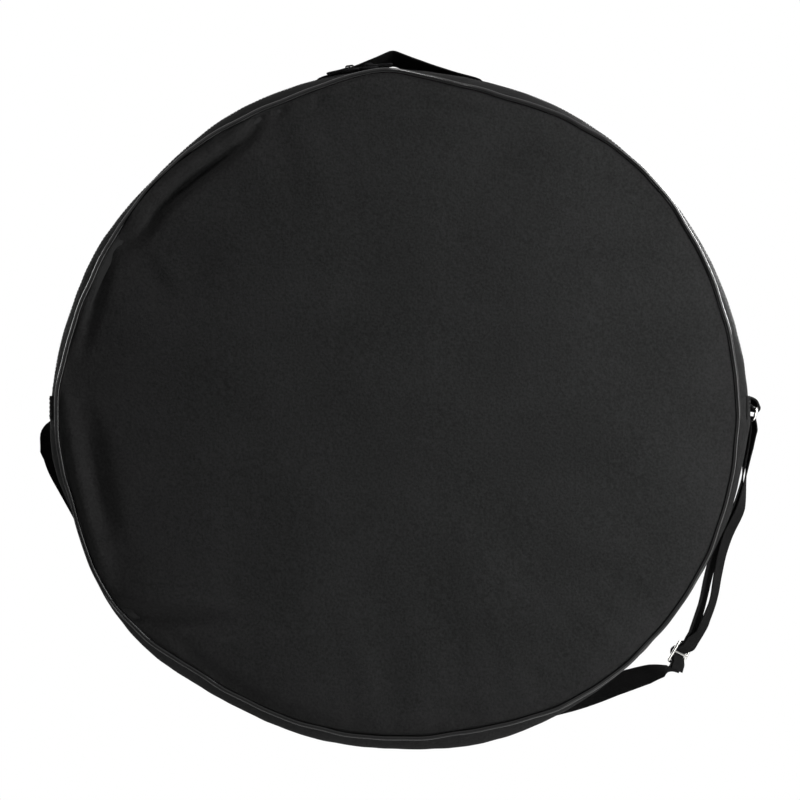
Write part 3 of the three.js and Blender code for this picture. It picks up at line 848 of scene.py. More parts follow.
@dataclass
class ClothPass:
    """Short simulation that lets a slack sheet of the face settle into small hollows."""

    frames: int = 20
    pressure: float = 4.0
    slack: float = 0.006
    cap: float = 1.4
    smoothing: int = 30
    stuff: dict[str, float] = field(
        default_factory=lambda: {
            "quality": 5, "mass": 0.25, "tension_stiffness": 25.0, "compression_stiffness": 12.0,
            "shear_stiffness": 5.0, "bending_stiffness": 0.35,
        }
    )

    def settle(self, points: Array, disc: Disc, side: Side) -> Array:
        """Run the cloth and read what it did.

        Args:
            points: Points of the face, in millimetres.
            disc: The net that joins them.
            side: Which face it is.

        Returns:
            How far each point moved outwards, without the broad swell, in millimetres.
        """
        mesh = bpy.data.meshes.new("settling_cloth")
        mesh.from_pydata(to_row(points).tolist(), [], disc.triangles)
        sheet = in_scene("settling_cloth", mesh)
        held = sheet.vertex_groups.new(name="seam")
        held.add(disc.rim(), 1.0, "REPLACE")
        modifier = sheet.modifiers.new("cloth", "CLOTH")
        settings = modifier.settings
        for name, value in self.stuff.items():
            setattr(settings, name, value)
        settings.vertex_group_mass = held.name
        settings.shrink_min = -self.slack
        settings.use_pressure = True
        settings.uniform_pressure_force = self.pressure
        settings.effector_weights.gravity = 0.0
        modifier.collision_settings.use_collision = False
        modifier.point_cache.frame_end = self.frames
        scene = bpy.context.scene
        for number in range(1, self.frames + 1):
            scene.frame_set(number)
        graph = bpy.context.evaluated_depsgraph_get()
        done = sheet.evaluated_get(graph).to_mesh()
        flat = np.empty(len(done.vertices) * 3)
        done.vertices.foreach_get("co", flat)
        sheet.evaluated_get(graph).to_mesh_clear()
        scene.frame_set(1)
        bpy.data.objects.remove(sheet)
        moved = (flat.reshape(-1, 3) / MM - ORIGIN - points)[:, 1] * side.value
        broad = self.smoothed(moved, disc)
        fine = moved - broad
        log.info("cloth moved %.1f to %.1f mm, fine part %.2f", moved.min(), moved.max(), np.abs(fine).max())
        return np.clip(fine, -self.cap, self.cap)

    def smoothed(self, values: Array, disc: Disc) -> Array:
        """Return the values evened out over the net."""
        pairs = np.array(disc.triangles)
        ends = np.concatenate([pairs[:, [0, 1]], pairs[:, [1, 2]], pairs[:, [2, 0]]])
        ends = np.concatenate([ends, ends[:, ::-1]])
        count = np.bincount(ends[:, 0], minlength=len(values))
        result = values.copy()
        for _ in range(self.smoothing):
            total = np.bincount(ends[:, 0], weights=result[ends[:, 1]], minlength=len(values))
            result = total / count
        return result


@dataclass
class ReliefMap:
    """Heights over X and Z, kept on a square grid."""

    cell: float = 4.0
    reach: float = 300.0
    grid: Array | None = None

    def fill(self, x: Array, z: Array, height: Array) -> None:
        """Spread scattered heights over the grid."""
        size = int(2 * self.reach / self.cell) + 1
        column = np.rint((x + self.reach) / self.cell).astype(int)
        row = np.rint((z + self.reach) / self.cell).astype(int)
        where = row * size + column
        total = np.bincount(where, weights=height, minlength=size * size).reshape(size, size)
        count = np.bincount(where, minlength=size * size).reshape(size, size).astype(float)
        for _ in range(3):
            for axis in (0, 1):
                total = total + 0.5 * (np.roll(total, 1, axis) + np.roll(total, -1, axis))
                count = count + 0.5 * (np.roll(count, 1, axis) + np.roll(count, -1, axis))
        self.grid = total / np.maximum(count, 1e-6)

    def read(self, x: Array, z: Array) -> Array:
        """Return the height at each place."""
        if self.grid is None:
            return np.zeros(np.shape(x))
        across, up = (x + self.reach) / self.cell, (z + self.reach) / self.cell
        column, row = np.floor(across).astype(int), np.floor(up).astype(int)
        s, t = across - column, up - row
        low = self.grid[row, column] * (1 - s) + self.grid[row, column + 1] * s
        high = self.grid[row + 1, column] * (1 - s) + self.grid[row + 1, column + 1] * s
        return low * (1 - t) + high * t


@dataclass
class BagForm:
    """Outline, side wall and faces of the bag."""

    depth: float = 76.0
    crown: float = 10.0
    hinge_height: float = 16.0
    back_share: float = 0.985
    clearance: float = 0.3
    fabric: float = 1.0
    foam: float = 4.0
    lining: float = 0.8
    piping_radius: float = 2.0
    zip_opening: float = 9.0
    zip_y: float = -16.0
    zip_radius: float = 280.0
    wall_inset: float = 2.4
    pad_inset: float = 6.7
    anchor_radius: float = 281.1
    seam: dict[float, float] = field(
        default_factory=lambda: {
            0: 268.6, 15: 269.5, 30: 271.9, 45: 274.6, 60: 270.9, 75: 266.5, 84: 269.2, 94: 275.0, 100: 270.8,
            105: 268.4, 110: 266.6, 120: 267.2, 130: 268.2, 140: 268.0, 148: 267.4, 156: 267.4, 165: 268.2,
            180: 272.2, 189: 270.4, 194: 269.0, 199: 268.9, 203: 270.6, 208: 271.8, 214: 270.8, 221: 267.0,
            230: 259.4, 240: 256.3, 255: 255.4, 270: 255.2, 285: 256.4, 300: 263.6, 310: 266.3, 320: 267.2,
            335: 268.5, 345: 268.2, 355: 268.4,
        }
    )
    fullest: dict[float, float] = field(
        default_factory=lambda: {
            0: 283.0, 8: 282.4, 18: 280.2, 30: 280.2, 45: 280.6, 60: 279.8, 75: 278.2, 90: 279.2, 105: 278.6,
            120: 278.6, 128: 276.2, 136: 274.9, 144: 276.8, 152: 279.0, 165: 278.2, 180: 281.6, 186: 281.8,
            190: 280.2, 194: 276.6, 198: 274.4, 202: 275.0, 208: 277.8, 213: 278.8, 219: 278.2, 225: 276.2,
            230: 272.8, 240: 269.0, 255: 268.7, 270: 268.4, 285: 272.2, 295: 272.6, 305: 272.8, 320: 273.4,
            335: 275.2, 343: 278.0, 352: 279.2,
        }
    )
    drawn_in: dict[float, float] = field(
        default_factory=lambda: {0: 0, 50: 0, 64: 0.2, 74: 1.8, 82: 2.2, 89: 1.0, 98: 0.8, 106: 1.2, 114: 1.4,
                                 121: 1.8, 128: 3.8, 136: 5.0, 144: 3.4, 152: 1.8, 160: 2.2, 167: 1.0, 177: 0,
                                 240: 0, 300: 0}
    )

    @property
    def front_seam(self) -> float:
        """Y of the front seam."""
        return -self.depth / 2

    @property
    def back_seam(self) -> float:
        """Y of the back seam."""
        return self.depth / 2

    @property
    def lining_depth(self) -> float:
        """Depth of the lining's outside below the cloth's outside."""
        return self.fabric + self.foam + 2 * self.clearance

    @property
    def foam_depth(self) -> float:
        """Depth of the padding's outside below the cloth's outside."""
        return self.fabric + self.clearance

    def seat(self, half: float) -> float:
        """Return the radius of the middle of webbing sewn on at 3 or 9 o'clock, by half its thickness."""
        return self.anchor_radius + self.clearance + half

    def edge(self, turn: Array, side: Side = Side.FRONT) -> Array:
        """Return the radius of a seam."""
        return periodic_curve(self.seam, turn) * (self.back_share if side is Side.BACK else 1.0)

    def zip_line(self, turn: Array) -> Array:
        """Return the radius at which the zip's cloth lies."""
        return self.zip_radius - periodic_curve(self.drawn_in, turn)

    def belly(self, turn: Array) -> Array:
        """Return the fullest radius of the side wall."""
        turn = np.asarray(turn, float)
        return np.where(turn <= 0.5, self.zip_line(turn), periodic_curve(self.fullest, turn))

    def pucker(self, turn: Array, y: Array, side: Side) -> Array:
        """Return small waves of the side wall near a seam."""
        turn = np.asarray(turn, float) * 2 * math.pi
        seam = self.front_seam if side is Side.FRONT else self.back_seam
        near = np.exp(-np.abs(y - seam) / 11.0)
        phase = 1.3 if side is Side.FRONT else 4.1
        wave = (
            0.45 * np.sin(41 * turn + phase)
            + 0.35 * np.sin(67 * turn + 2.2 * phase)
            + 0.25 * np.sin(103 * turn + 3.7 * phase)
        )
        inside = 1 - np.exp(-np.abs(y - seam) / 4.0)
        return wave * near * inside

    def wall(self, turn: Array, y: Array) -> Array:
        """Return the outside radius of the side wall at a turn and a depth."""
        turn, y = np.broadcast_arrays(np.asarray(turn, float), np.asarray(y, float))
        belly, front = self.belly(turn), self.edge(turn)
        back = front * self.back_share
        zip_front, zip_back = self.zip_y - self.zip_opening / 2, self.zip_y + self.zip_opening / 2
        ahead = np.clip((y - self.front_seam) / (zip_front - self.front_seam), 0, 1)
        behind = np.clip((y - zip_back) / (self.back_seam - zip_back), 0, 1)
        radius = np.where(
            y < self.zip_y,
            front + (belly - front) * np.sin(ahead * QUARTER),
            back + (belly - back) * np.cos(behind * QUARTER),
        )
        swell = np.where(turn <= 0.5, periodic_curve(self.fullest, turn) - belly, 0.0)
        radius = radius + swell * np.sin(ahead * math.pi) * 0.9 * (y < zip_front)
        radius = radius + swell * np.sin(behind * math.pi) * 0.9 * (y > zip_back)
        return radius + self.pucker(turn, y, Side.FRONT) + self.pucker(turn, y, Side.BACK)

    def point(self, turn: Array, radius: Array, y: Array) -> Array:
        """Return points by turn, radius and depth."""
        turn, radius, y = np.broadcast_arrays(
            np.asarray(turn, float), np.asarray(radius, float), np.asarray(y, float)
        )
        angle = turn * 2 * math.pi
        return np.stack([radius * np.cos(angle), y, radius * np.sin(angle)], axis=-1)


@dataclass
class Dresser:
    """What every sub-assembly needs to make, dress and register its pieces."""

    form: BagForm
    finishes: Finishes
    beads: bpy.types.NodeTree
    disc: Disc

    def register(
        self,
        made: bpy.types.Object,
        slot: Slot,
        nodes: tuple[str, ...] = (),
        body: Body | None = None,
        bend: tuple[Body, Body, Array, Array] | None = None,
    ) -> bpy.types.Object:
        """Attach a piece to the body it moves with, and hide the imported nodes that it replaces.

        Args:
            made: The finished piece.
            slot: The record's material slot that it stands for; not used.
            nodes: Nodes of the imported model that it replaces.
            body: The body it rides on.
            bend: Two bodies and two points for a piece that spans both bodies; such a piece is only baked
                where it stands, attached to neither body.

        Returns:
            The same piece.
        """
        if bend is None:
            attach(made, body.value)
        else:
            first, second, start, end = bend
            tuple(to_row(start))
            tuple(to_row(end))
            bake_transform(made)
        if nodes:
            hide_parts(*nodes)
        log.info("%s: %d faces", made.name, len(made.data.polygons))
        return made

    def over_hinge(self, reach: float = 9.0) -> tuple[Body, Body, Array, Array]:
        """Return the bend of a piece that runs on over the flap's fold line."""
        low = np.array((0.0, self.form.front_seam, self.form.hinge_height - reach))
        high = np.array((0.0, self.form.front_seam, self.form.hinge_height + reach))
        return Body.BAG, Body.FLAP, low, high

    def stitch(self, name: str, paths: list[Path], body: Body, pitch: float = 3.2) -> bpy.types.Object:
        """Sew rows of stitches that ride on a body.

        Args:
            name: Name of the piece.
            paths: Lines of the seams.
            body: The body they ride on.
            pitch: Millimetres from one stitch to the next.

        Returns:
            The piece.
        """
        row = BeadRow(name, paths, pitch, (pitch * 0.82, 0.7, 0.5), self.finishes.thread, 0.05, 11)
        return self.register(row.make(self.beads), Slot.WEBBING, body=body)


# The two faces


@dataclass
class FacePanel:
    """Crowned face of cloth, padding and lining, with its piping and seam binding."""

    dresser: Dresser
    side: Side
    folds: list[Fold]
    fill: float = 0.7
    binding_width: float = 2.5
    seam_allowance: float = 6.0
    roll_turn: float = 0.382
    roll_reach: float = 0.03
    roll_overhang: float = 5.5
    roll_gap: float = 4.5
    roll_width: float = 3.2
    relief: ReliefMap = field(default_factory=ReliefMap)

    def crown(self, share: Array, turn: Array) -> Array:
        """Return how far the cloth swells at a share of the edge's radius, fuller towards the bottom."""
        low = np.clip(-np.sin(np.asarray(turn) * 2 * math.pi), 0, 1)
        return self.dresser.form.crown * (1 - np.asarray(share) ** (5.0 + 20.0 * low))

    def roll(self, turn: Array, gap: Array) -> Array:
        """Return how far the slack cloth at the upper left hangs out over the piping."""
        if self.side is Side.BACK:
            return np.zeros(np.shape(gap))
        place = (np.asarray(turn) - self.roll_turn) / self.roll_reach
        near = np.exp(-(((gap - self.roll_gap) / self.roll_width) ** 2))
        return self.roll_overhang * np.exp(-(place**4)) * near * (1 - np.exp(-gap))

    def gathers(self, share: Array, turn: Array) -> Array:
        """Return the small waves that the sewing draws into the cloth beside the seam."""
        angle = np.asarray(turn, float) * 2 * math.pi
        gap = (1 - np.asarray(share)) * self.dresser.form.zip_radius
        near = np.exp(-gap / 9.0) * (1 - np.exp(-gap / 2.5))
        wave = 0.5 * np.sin(53 * angle + 0.7) + 0.4 * np.sin(89 * angle + 1.9) + 0.4 * np.sin(37 * angle)
        calm = 0.35 + 0.65 * np.clip(np.sin(angle * 0.5 - 0.35), 0, 1) ** 2
        return wave * near * calm * 1.4

    def surface(self, share: Array, turn: Array, depth: float) -> Array:
        """Return points of a layer of the face.

        Args:
            share: Shares of the edge's radius.
            turn: Turns of the points.
            depth: Depth below the outside of the cloth.

        Returns:
            The points.
        """
        form = self.dresser.form
        edge = form.edge(turn, self.side)
        gap = edge * (1 - np.asarray(share))
        radius = edge * share
        angle = np.asarray(turn) * 2 * math.pi
        x, z = radius * np.cos(angle), radius * np.sin(angle)
        lift = sum(fold.height(x, z) for fold in self.folds) + self.relief.read(x, z)
        rim = 1 - np.exp(-gap / 3.0)
        hang = self.roll(turn, gap)
        x, z = x + hang * np.cos(angle), z + hang * np.sin(angle)
        out = form.depth / 2 + self.crown(share, turn) + (lift + self.gathers(share, turn)) * rim - depth
        return np.stack([x, out * self.side.value, z], axis=-1)

    def layer(self, depth: float, thickness: float, inset: float) -> Shell:
        """Build one layer as a closed mesh.

        Args:
            depth: Depth of its outside below the outside of the cloth.
            thickness: Its thickness.
            inset: How far its edge stays inside the seam.

        Returns:
            The mesh.
        """
        disc = self.dresser.disc
        edge = self.dresser.form.edge(disc.turns, self.side)
        share = disc.shares * (edge - inset) / edge
        outer = self.surface(share, disc.turns, depth)
        inner = self.surface(share, disc.turns, depth + thickness)
        count, rim = len(outer), disc.rim()
        faces = list(disc.triangles)
        faces += [tuple(count + index for index in reversed(face)) for face in disc.triangles]
        after = rim[1:] + rim[:1]
        faces += [(a, a + count, b + count, b) for a, b in zip(rim, after)]
        points = np.concatenate([outer, inner])
        place = [(float(p[0]), float(p[2])) for p in points]
        weave = [tuple(place[index] for index in face) for face in faces]
        return Shell(points, faces, weave)

    def settle(self) -> None:
        """Let the cloth settle in a simulation and keep its small hollows."""
        disc = self.dresser.disc
        start = self.surface(disc.shares, disc.turns, 0.0)
        height = ClothPass().settle(start, disc, self.side)
        self.relief.fill(start[:, 0], start[:, 2], height)

    def piping(self, sides: int = 14, steps: int = 720) -> Shell:
        """Build the cord of the seam with its flange."""
        form = self.dresser.form
        turn = np.arange(steps) / steps
        radius = form.piping_radius
        angle = turn * 2 * math.pi
        waver = 0.25 * np.sin(29 * angle + 1.0) + 0.2 * np.sin(47 * angle + 2.0)
        edge = form.edge(turn, self.side)
        middle_out = form.clearance + radius
        middle_in = form.wall_inset - form.clearance - radius
        around = np.linspace(0.58, -0.28, sides) * 2 * math.pi
        profile = [(middle_out + radius * math.cos(a), middle_in - radius * math.sin(a)) for a in around]
        flange = form.foam_depth
        profile = [(-self.seam_allowance, flange), *profile, (-self.seam_allowance, flange + 0.8)]
        out = np.array([p[0] for p in profile])
        into = np.array([p[1] for p in profile])
        place = edge[:, None] + out[None, :] + waver[:, None] * (out > 0)
        y = self.side.value * (form.depth / 2 - into)
        sections = form.point(turn[:, None], place, y[None, :])
        along = np.arange(steps + 1) / steps * 2 * math.pi * form.zip_radius
        across = lengths(np.array([*profile, profile[0]]))
        return sweep(sections, along, across, closed=True)

    def binding(self, steps: int = 360) -> Shell:
        """Build the tape that binds the raw seam inside."""
        form = self.dresser.form
        turn = np.arange(steps) / steps
        edge = form.edge(turn, self.side)
        under = form.lining_depth + form.lining + form.clearance
        corners = []
        for inset, more in ((0, 0), (self.binding_width, 0), (self.binding_width, 1), (0, 1)):
            radius = edge - form.pad_inset - inset
            layer = self.surface(radius / edge, turn, under + more * self.binding_width)
            corners.append(layer)
        sections = np.stack(corners, axis=1)
        along = np.arange(steps + 1) / steps * 2 * math.pi * form.zip_radius
        return sweep(sections, along, np.arange(5) * self.binding_width, closed=True)

    def build(self) -> None:
        """Build and register every layer of the face."""
        form, finishes = self.dresser.form, self.dresser.finishes
        front = self.side is Side.FRONT
        self.settle()
        layers = (
            ("panel", self.layer(0.0, form.fabric, 0.0), finishes.cloth, Slot.CLOTH),
            ("foam", self.layer(form.foam_depth, form.foam, form.pad_inset), finishes.padding, Slot.PADDING),
            ("lining", self.layer(form.lining_depth, form.lining, form.pad_inset), finishes.lining,
             Slot.LINING),
            ("piping", self.piping(), finishes.piping, Slot.PIPING),
            ("seam_binding", self.binding(), finishes.tape, Slot.WEBBING),
        )
        name = "front" if front else "back"
        for part, shell, finish, slot in layers:
            made = shell.piece(f"{name}_{part}_whole", finish)
            if front:
                nodes = (f"front_{part}_upper", f"front_{part}_lower")
                self.dresser.register(made, slot, nodes, bend=self.dresser.over_hinge())
            else:
                self.dresser.register(made, slot, (f"back_{part}",), body=Body.BAG)


# The side wall and the zip


@dataclass
class SideWall:
    """Gusset of the lower half and the two strips beside the zip."""

    dresser: Dresser
    steps: int = 300
    tape_width: float = 12.0
    seam_gap: float = 0.04
    tape_thickness: float = 0.6
    lining_lap: float = 1.0
    row_pitch: float = 2.2
    slider_width: float = 9.5
    slider_play: float = 0.6
    seam_margin: float = 2.2
    seam_turns: tuple[float, float] = (0.013, 0.487)
    fill: float = 0.6

    def layer(self, half: Half, start: float, end: float, depth: float, thickness: float) -> Shell:
        """Build a layer of the wall.

        Args:
            half: The stretch of the circle.
            start: Y of its front edge.
            end: Y of its back edge.
            depth: Depth of its outside below the wall's outside.
            thickness: Its thickness.

        Returns:
            The closed mesh.
        """
        form = self.dresser.form
        turn = np.linspace(*half.value, self.steps + 1)
        y = np.linspace(start, end, max(4, int((end - start) / self.row_pitch)))
        radius = form.wall(turn[:, None], y[None, :])
        outer = form.point(turn[:, None], radius - depth, y[None, :])
        inner = form.point(turn[:, None], radius - depth - thickness, y[None, :])
        lap = self.lining_lap if depth > form.foam_depth else 0.0
        cut = form.hinge_height + lap + (self.seam_gap if half is Half.UPPER else -self.seam_gap)
        limit = np.maximum if half is Half.UPPER else np.minimum
        for rows in (outer, inner):
            rows[[0, -1], :, 2] = cut
            rows[:, :, 2] = limit(rows[:, :, 2], cut)
        sections = np.concatenate([outer, inner[:, ::-1]], axis=1)
        along = turn * 2 * math.pi * form.zip_radius
        across = np.concatenate([y, y[::-1] + 2 * thickness, [y[0]]])
        return sweep(sections, along, across)

    def build(self) -> None:
        """Build and register the layers and their stitches."""
        form, finishes = self.dresser.form, self.dresser.finishes
        start, end = form.front_seam + form.wall_inset, form.back_seam - form.wall_inset
        zip_front, zip_back = form.zip_y - form.zip_opening / 2, form.zip_y + form.zip_opening / 2
        pad_start = form.zip_y + self.tape_width + form.clearance
        facing_end = form.zip_y - self.slider_width / 2 - self.slider_play
        facing_depth = form.foam_depth + self.tape_thickness + form.clearance
        rows = (
            ("base_gusset", Half.LOWER, start, end, 0.0, form.fabric, finishes.cloth, Slot.CLOTH, Body.BAG),
            ("base_gusset_foam", Half.LOWER, start, end, form.foam_depth, form.foam, finishes.padding,
             Slot.PADDING, Body.BAG),
            ("base_gusset_lining", Half.LOWER, start, end, form.lining_depth, form.lining, finishes.lining,
             Slot.LINING, Body.BAG),
            ("rear_zip_strip", Half.UPPER, zip_back, end, 0.0, form.fabric, finishes.cloth, Slot.CLOTH,
             Body.BAG),
            ("rear_zip_strip_foam", Half.UPPER, pad_start, end, form.foam_depth, form.foam, finishes.padding,
             Slot.PADDING, Body.BAG),
            ("rear_zip_strip_lining", Half.UPPER, pad_start, end, form.lining_depth, form.lining,
             finishes.lining, Slot.LINING, Body.BAG),
            ("front_zip_strip", Half.UPPER, start, zip_front, 0.0, form.fabric, finishes.cloth, Slot.CLOTH,
             Body.FLAP),
            ("front_zip_strip_lining", Half.UPPER, start, facing_end, facing_depth, form.lining,
             finishes.lining, Slot.LINING, Body.FLAP),
        )
        for node, half, low, high, depth, thickness, finish, slot, body in rows:
            made = self.layer(half, low, high, depth, thickness).piece(node + "_cloth", finish)
            self.dresser.register(made, slot, (node,), body=body)
        self.dresser.stitch("zip_stitches_front", [self.seam_line(zip_front - self.seam_margin)], Body.FLAP)
        self.dresser.stitch("zip_stitches_rear", [self.seam_line(zip_back + self.seam_margin)], Body.BAG)

    def seam_line(self, y: float) -> Path:
        """Return the line of a seam along the zip, on the cloth."""
        form = self.dresser.form
        turn = np.linspace(*self.seam_turns, 500)
        points = form.point(turn, form.wall(turn, np.full(500, y)) + 0.1, y)
        return Path(points, unit(points * (1, 0, 1)))


@dataclass
class Zip:
    """Tapes, coils, sliders and pulls."""

    dresser: Dresser
    split: float = 1.6
    tape_width: float = 12.0
    tape_thickness: float = 0.6
    coil_width: float = 2.6
    coil_height: float = 2.0
    coil_turns: tuple[float, float] = (0.0098, 0.4902)
    tooth: float = 1.15
    pitch: float = 1.5
    end_gap: float = 0.15
    slider_length: float = 15.0
    slider_width: float = 9.5
    plate: float = 1.5
    slider_top: float = -1.1
    slider_bottom: float = -8.8
    pull_half: float = 0.6
    pin_radius: float = 284.2
    turned_right: float = -4.983
    turned_left: float = -8.113
    droop_right: float = 1.0
    droop_left: float = 6.0

    def tape(self, side: int) -> Shell:
        """Build a tape; side is -1 in front of the zip and 1 behind it."""
        form = self.dresser.form
        turn = np.linspace(0, 0.5, 241)
        edges = sorted((form.zip_y + side * self.split / 2, form.zip_y + side * self.tape_width))
        y = np.linspace(*edges, 7)
        radius = np.minimum(form.wall(turn[:, None], y[None, :]), form.zip_line(turn)[:, None])
        outer_radius = radius - form.foam_depth
        outer = form.point(turn[:, None], outer_radius, y[None, :])
        inner = form.point(turn[:, None], outer_radius - self.tape_thickness, y[None, :])
        cut = form.hinge_height + self.end_gap
        for rows in (outer, inner):
            rows[:, :, 2] = np.maximum(rows[:, :, 2], cut)
        sections = np.concatenate([outer, inner[:, ::-1]], axis=1)
        across = np.concatenate([y, y[::-1] + 1.0, [y[0]]])
        return sweep(sections, turn * 2 * math.pi * form.zip_radius, across)

    def coil_path(self, side: int) -> Path:
        """Return the line on which a coil's loops sit."""
        form = self.dresser.form
        turn = np.linspace(*self.coil_turns, 700)
        radius = form.zip_line(turn) - form.foam_depth + form.clearance + self.coil_height / 2
        points = form.point(turn, radius, form.zip_y + side * (self.split + self.coil_width) / 2)
        return Path(points, unit(points * (1, 0, 1)))

    def local(self, degrees: float, facing: int, points: Array) -> Array:
        """Place points of a slider: along its way of closing, across, and outwards from its pin."""
        angle = math.radians(degrees)
        outwards = np.array((math.sin(angle), 0.0, math.cos(angle)))
        along = np.array((math.cos(angle), 0.0, -math.sin(angle))) * facing
        middle = outwards * self.pin_radius + BACKWARDS * self.dresser.form.zip_y
        points = np.asarray(points, float)
        return middle + points[..., :1] * along + points[..., 1:2] * BACKWARDS + points[..., 2:3] * outwards

    def plate_outline(self) -> Array:
        """Return the outline of a slider plate, with wings at its closing end and a narrow tail."""
        half, width = self.slider_length / 2, self.slider_width / 2
        side = [(half, 1.4), (half - 0.4, 3.6), (half - 2.2, width), (0.5, width), (-half + 2.5, width - 1.0),
                (-half + 0.7, width - 1.9), (-half, 1.6)]
        other = [(a, -b) for a, b in reversed(side)]
        return np.array([*side, *other])

    def slab(self, outline: Array, low: float, high: float, bevel: float = 0.3) -> Shell:
        """Build a flat solid with softened edges from an outline.

        Args:
            outline: Points along and across.
            low: Its underside, outwards from the pin.
            high: Its top.
            bevel: Width of the softened edge.

        Returns:
            The solid, in a slider's own directions.
        """
        centre = outline.mean(axis=0)
        drawn = outline - bevel * unit(outline - centre)
        levels = [(drawn, low), (outline, low + bevel), (outline, high - bevel), (drawn, high)]
        sections = np.stack([np.column_stack([flat, np.full(len(flat), level)]) for flat, level in levels])
        around = lengths(np.concatenate([outline, outline[:1]]))
        return sweep(sections, np.arange(4.0), around)

    def arch(self, length: float, height: float, width: float, bar: float) -> Shell:
        """Build the bridge that holds the pull, as a bent bar."""
        foot, end, h = self.slider_top - self.plate / 2, -length / 2, width / 2
        outer = [(end, foot), (end, height * 0.55), (end + 0.9, height - 0.15), (end / 2, height)]
        inner = [(end + bar, foot), (end + bar, height * 0.5), (end + bar + 0.5, height - bar),
                 (end / 2, height - bar)]
        outer, inner = ([*half, *[(-a, b) for a, b in reversed(half)]] for half in (outer, inner))
        rows = [
            [(a, -h + 0.3, b), (a, h - 0.3, b), (c, h, d), (c, -h, d)]
            for (a, b), (c, d) in zip(outer, inner)
        ]
        return sweep(np.array(rows, float), np.arange(8.0), np.arange(5.0))

    def slider(self, degrees: float, facing: int) -> Shell:
        """Build a slider's body."""
        top, bottom = self.slider_top, self.slider_bottom
        plates = [self.slab(self.plate_outline(), top - self.plate, top),
                  self.slab(self.plate_outline(), bottom, bottom + self.plate)]
        post = np.array([(7.2, 0.5), (4.6, 0.5), (4.2, 0.0), (4.6, -0.5), (7.2, -0.5)])
        column = self.slab(post, bottom + self.plate / 2, top - self.plate / 2, 0.05)
        bridge = self.arch(7.2, 2.3, 2.4, 1.2)
        body = merged(*plates, column, bridge)
        return Shell(self.local(degrees, facing, body.points), body.faces, body.weave)

    def pull(self, degrees: float, away: int) -> Shell:
        """Build a pull tab: a ring over the bridge, a waist and a flat end with a hole."""
        rim = [(-0.65, 3.2), (5.6, 3.2), (7.2, 2.1), (10.0, 2.3), (13.0, 3.1), (17.5, 3.4), (19.0, 2.4),
               (19.35, 0.0)]
        outline = np.array([*rim, *[(a, -b) for a, b in reversed(rim[:-1])]])
        window = np.array([(0.65, 1.8), (5.2, 1.8), (5.4, 1.5), (5.4, -1.5), (5.2, -1.8), (0.65, -1.8)])
        angles = np.linspace(0, 2 * math.pi, 12, endpoint=False)
        eye = np.column_stack([16.2 + 1.4 * np.cos(angles), 1.4 * np.sin(angles)])
        solid = self.pierced(outline, (window, eye), self.pull_half)
        droop = math.radians(self.droop_right if away > 0 else self.droop_left)
        hanging = np.array([turned(point, BACKWARDS, droop) for point in solid.points])
        return Shell(self.local(degrees, away, hanging), solid.faces, solid.weave)

    def pierced(self, outline: Array, holes: tuple[Array, ...], half: float) -> Shell:
        """Build a flat solid with holes, filled between its outlines as a curve."""
        curve = bpy.data.curves.new("pull_outline", "CURVE")
        curve.dimensions = "2D"
        curve.fill_mode = "BOTH"
        curve.extrude = half - 0.2
        curve.bevel_depth = 0.2
        curve.bevel_resolution = 1
        curve.offset = -0.2
        for loop in (outline, *holes):
            spline = curve.splines.new("POLY")
            spline.points.add(len(loop) - 1)
            for place, (a, b) in zip(spline.points, loop):
                place.co = (a, b, 0.0, 1.0)
            spline.use_cyclic_u = True
        carrier = in_scene("pull_outline", curve)
        graph = bpy.context.evaluated_depsgraph_get()
        mesh = bpy.data.meshes.new_from_object(carrier.evaluated_get(graph))
        points = np.array([vertex.co for vertex in mesh.vertices])
        faces = [tuple(polygon.vertices) for polygon in mesh.polygons]
        bpy.data.objects.remove(carrier)
        bpy.data.meshes.remove(mesh)
        points, faces = weld(points, faces)
        weave = [tuple((float(points[i][0]), float(points[i][1])) for i in face) for face in faces]
        return Shell(points, faces, weave)

    def build(self) -> None:
        """Build and register the zip."""
        finishes, register = self.dresser.finishes, self.dresser.register
        for side, name, body in ((-1, "front", Body.FLAP), (1, "rear", Body.BAG)):
            made = self.tape(side).piece(f"{name}_zip_tape_cloth", finishes.tape)
            register(made, Slot.ZIP, (f"{name}_zip_tape",), body=body)
            size = (self.tooth, self.coil_width, self.coil_height * 0.9)
            row = BeadRow(f"{name}_zip_loops", [self.coil_path(side)], self.pitch, size, finishes.coil)
            register(row.make(self.dresser.beads), Slot.ZIP, (f"{name}_zip_coil",), body=body)
        sides = (
            ("right", 1, self.turned_right, Body.SLIDER_RIGHT, Body.PULL_RIGHT),
            ("left", -1, self.turned_left, Body.SLIDER_LEFT, Body.PULL_LEFT),
        )
        for name, away, degrees, slider_body, pull_body in sides:
            slider = self.slider(degrees, -away).piece(f"slider_{name}_body", finishes.blackened, 35.0)
            register(slider, Slot.SLIDER, (f"zip_slider_{name}",), body=slider_body)
            pull = self.pull(degrees, away).piece(f"pull_{name}_tab", finishes.blackened, 35.0)
            register(pull, Slot.SLIDER, (f"zip_pull_{name}",), body=pull_body)


def weld(points: Array, faces: list[tuple[int, ...]]) -> tuple[Array, list[tuple[int, ...]]]:
    """Merge points that lie together.

    Args:
        points: Points with doubles.
        faces: Faces on them.

    Returns:
        The points without doubles, and the faces on those.
    """
    keys = np.rint(points * 1000).astype(int)
    _, first, number = np.unique(keys, axis=0, return_index=True, return_inverse=True)
    number = number.ravel()
    joined = [tuple(int(number[index]) for index in face) for face in faces]
    return points[first], [face for face in joined if len(set(face)) == len(face)]


# Webbing


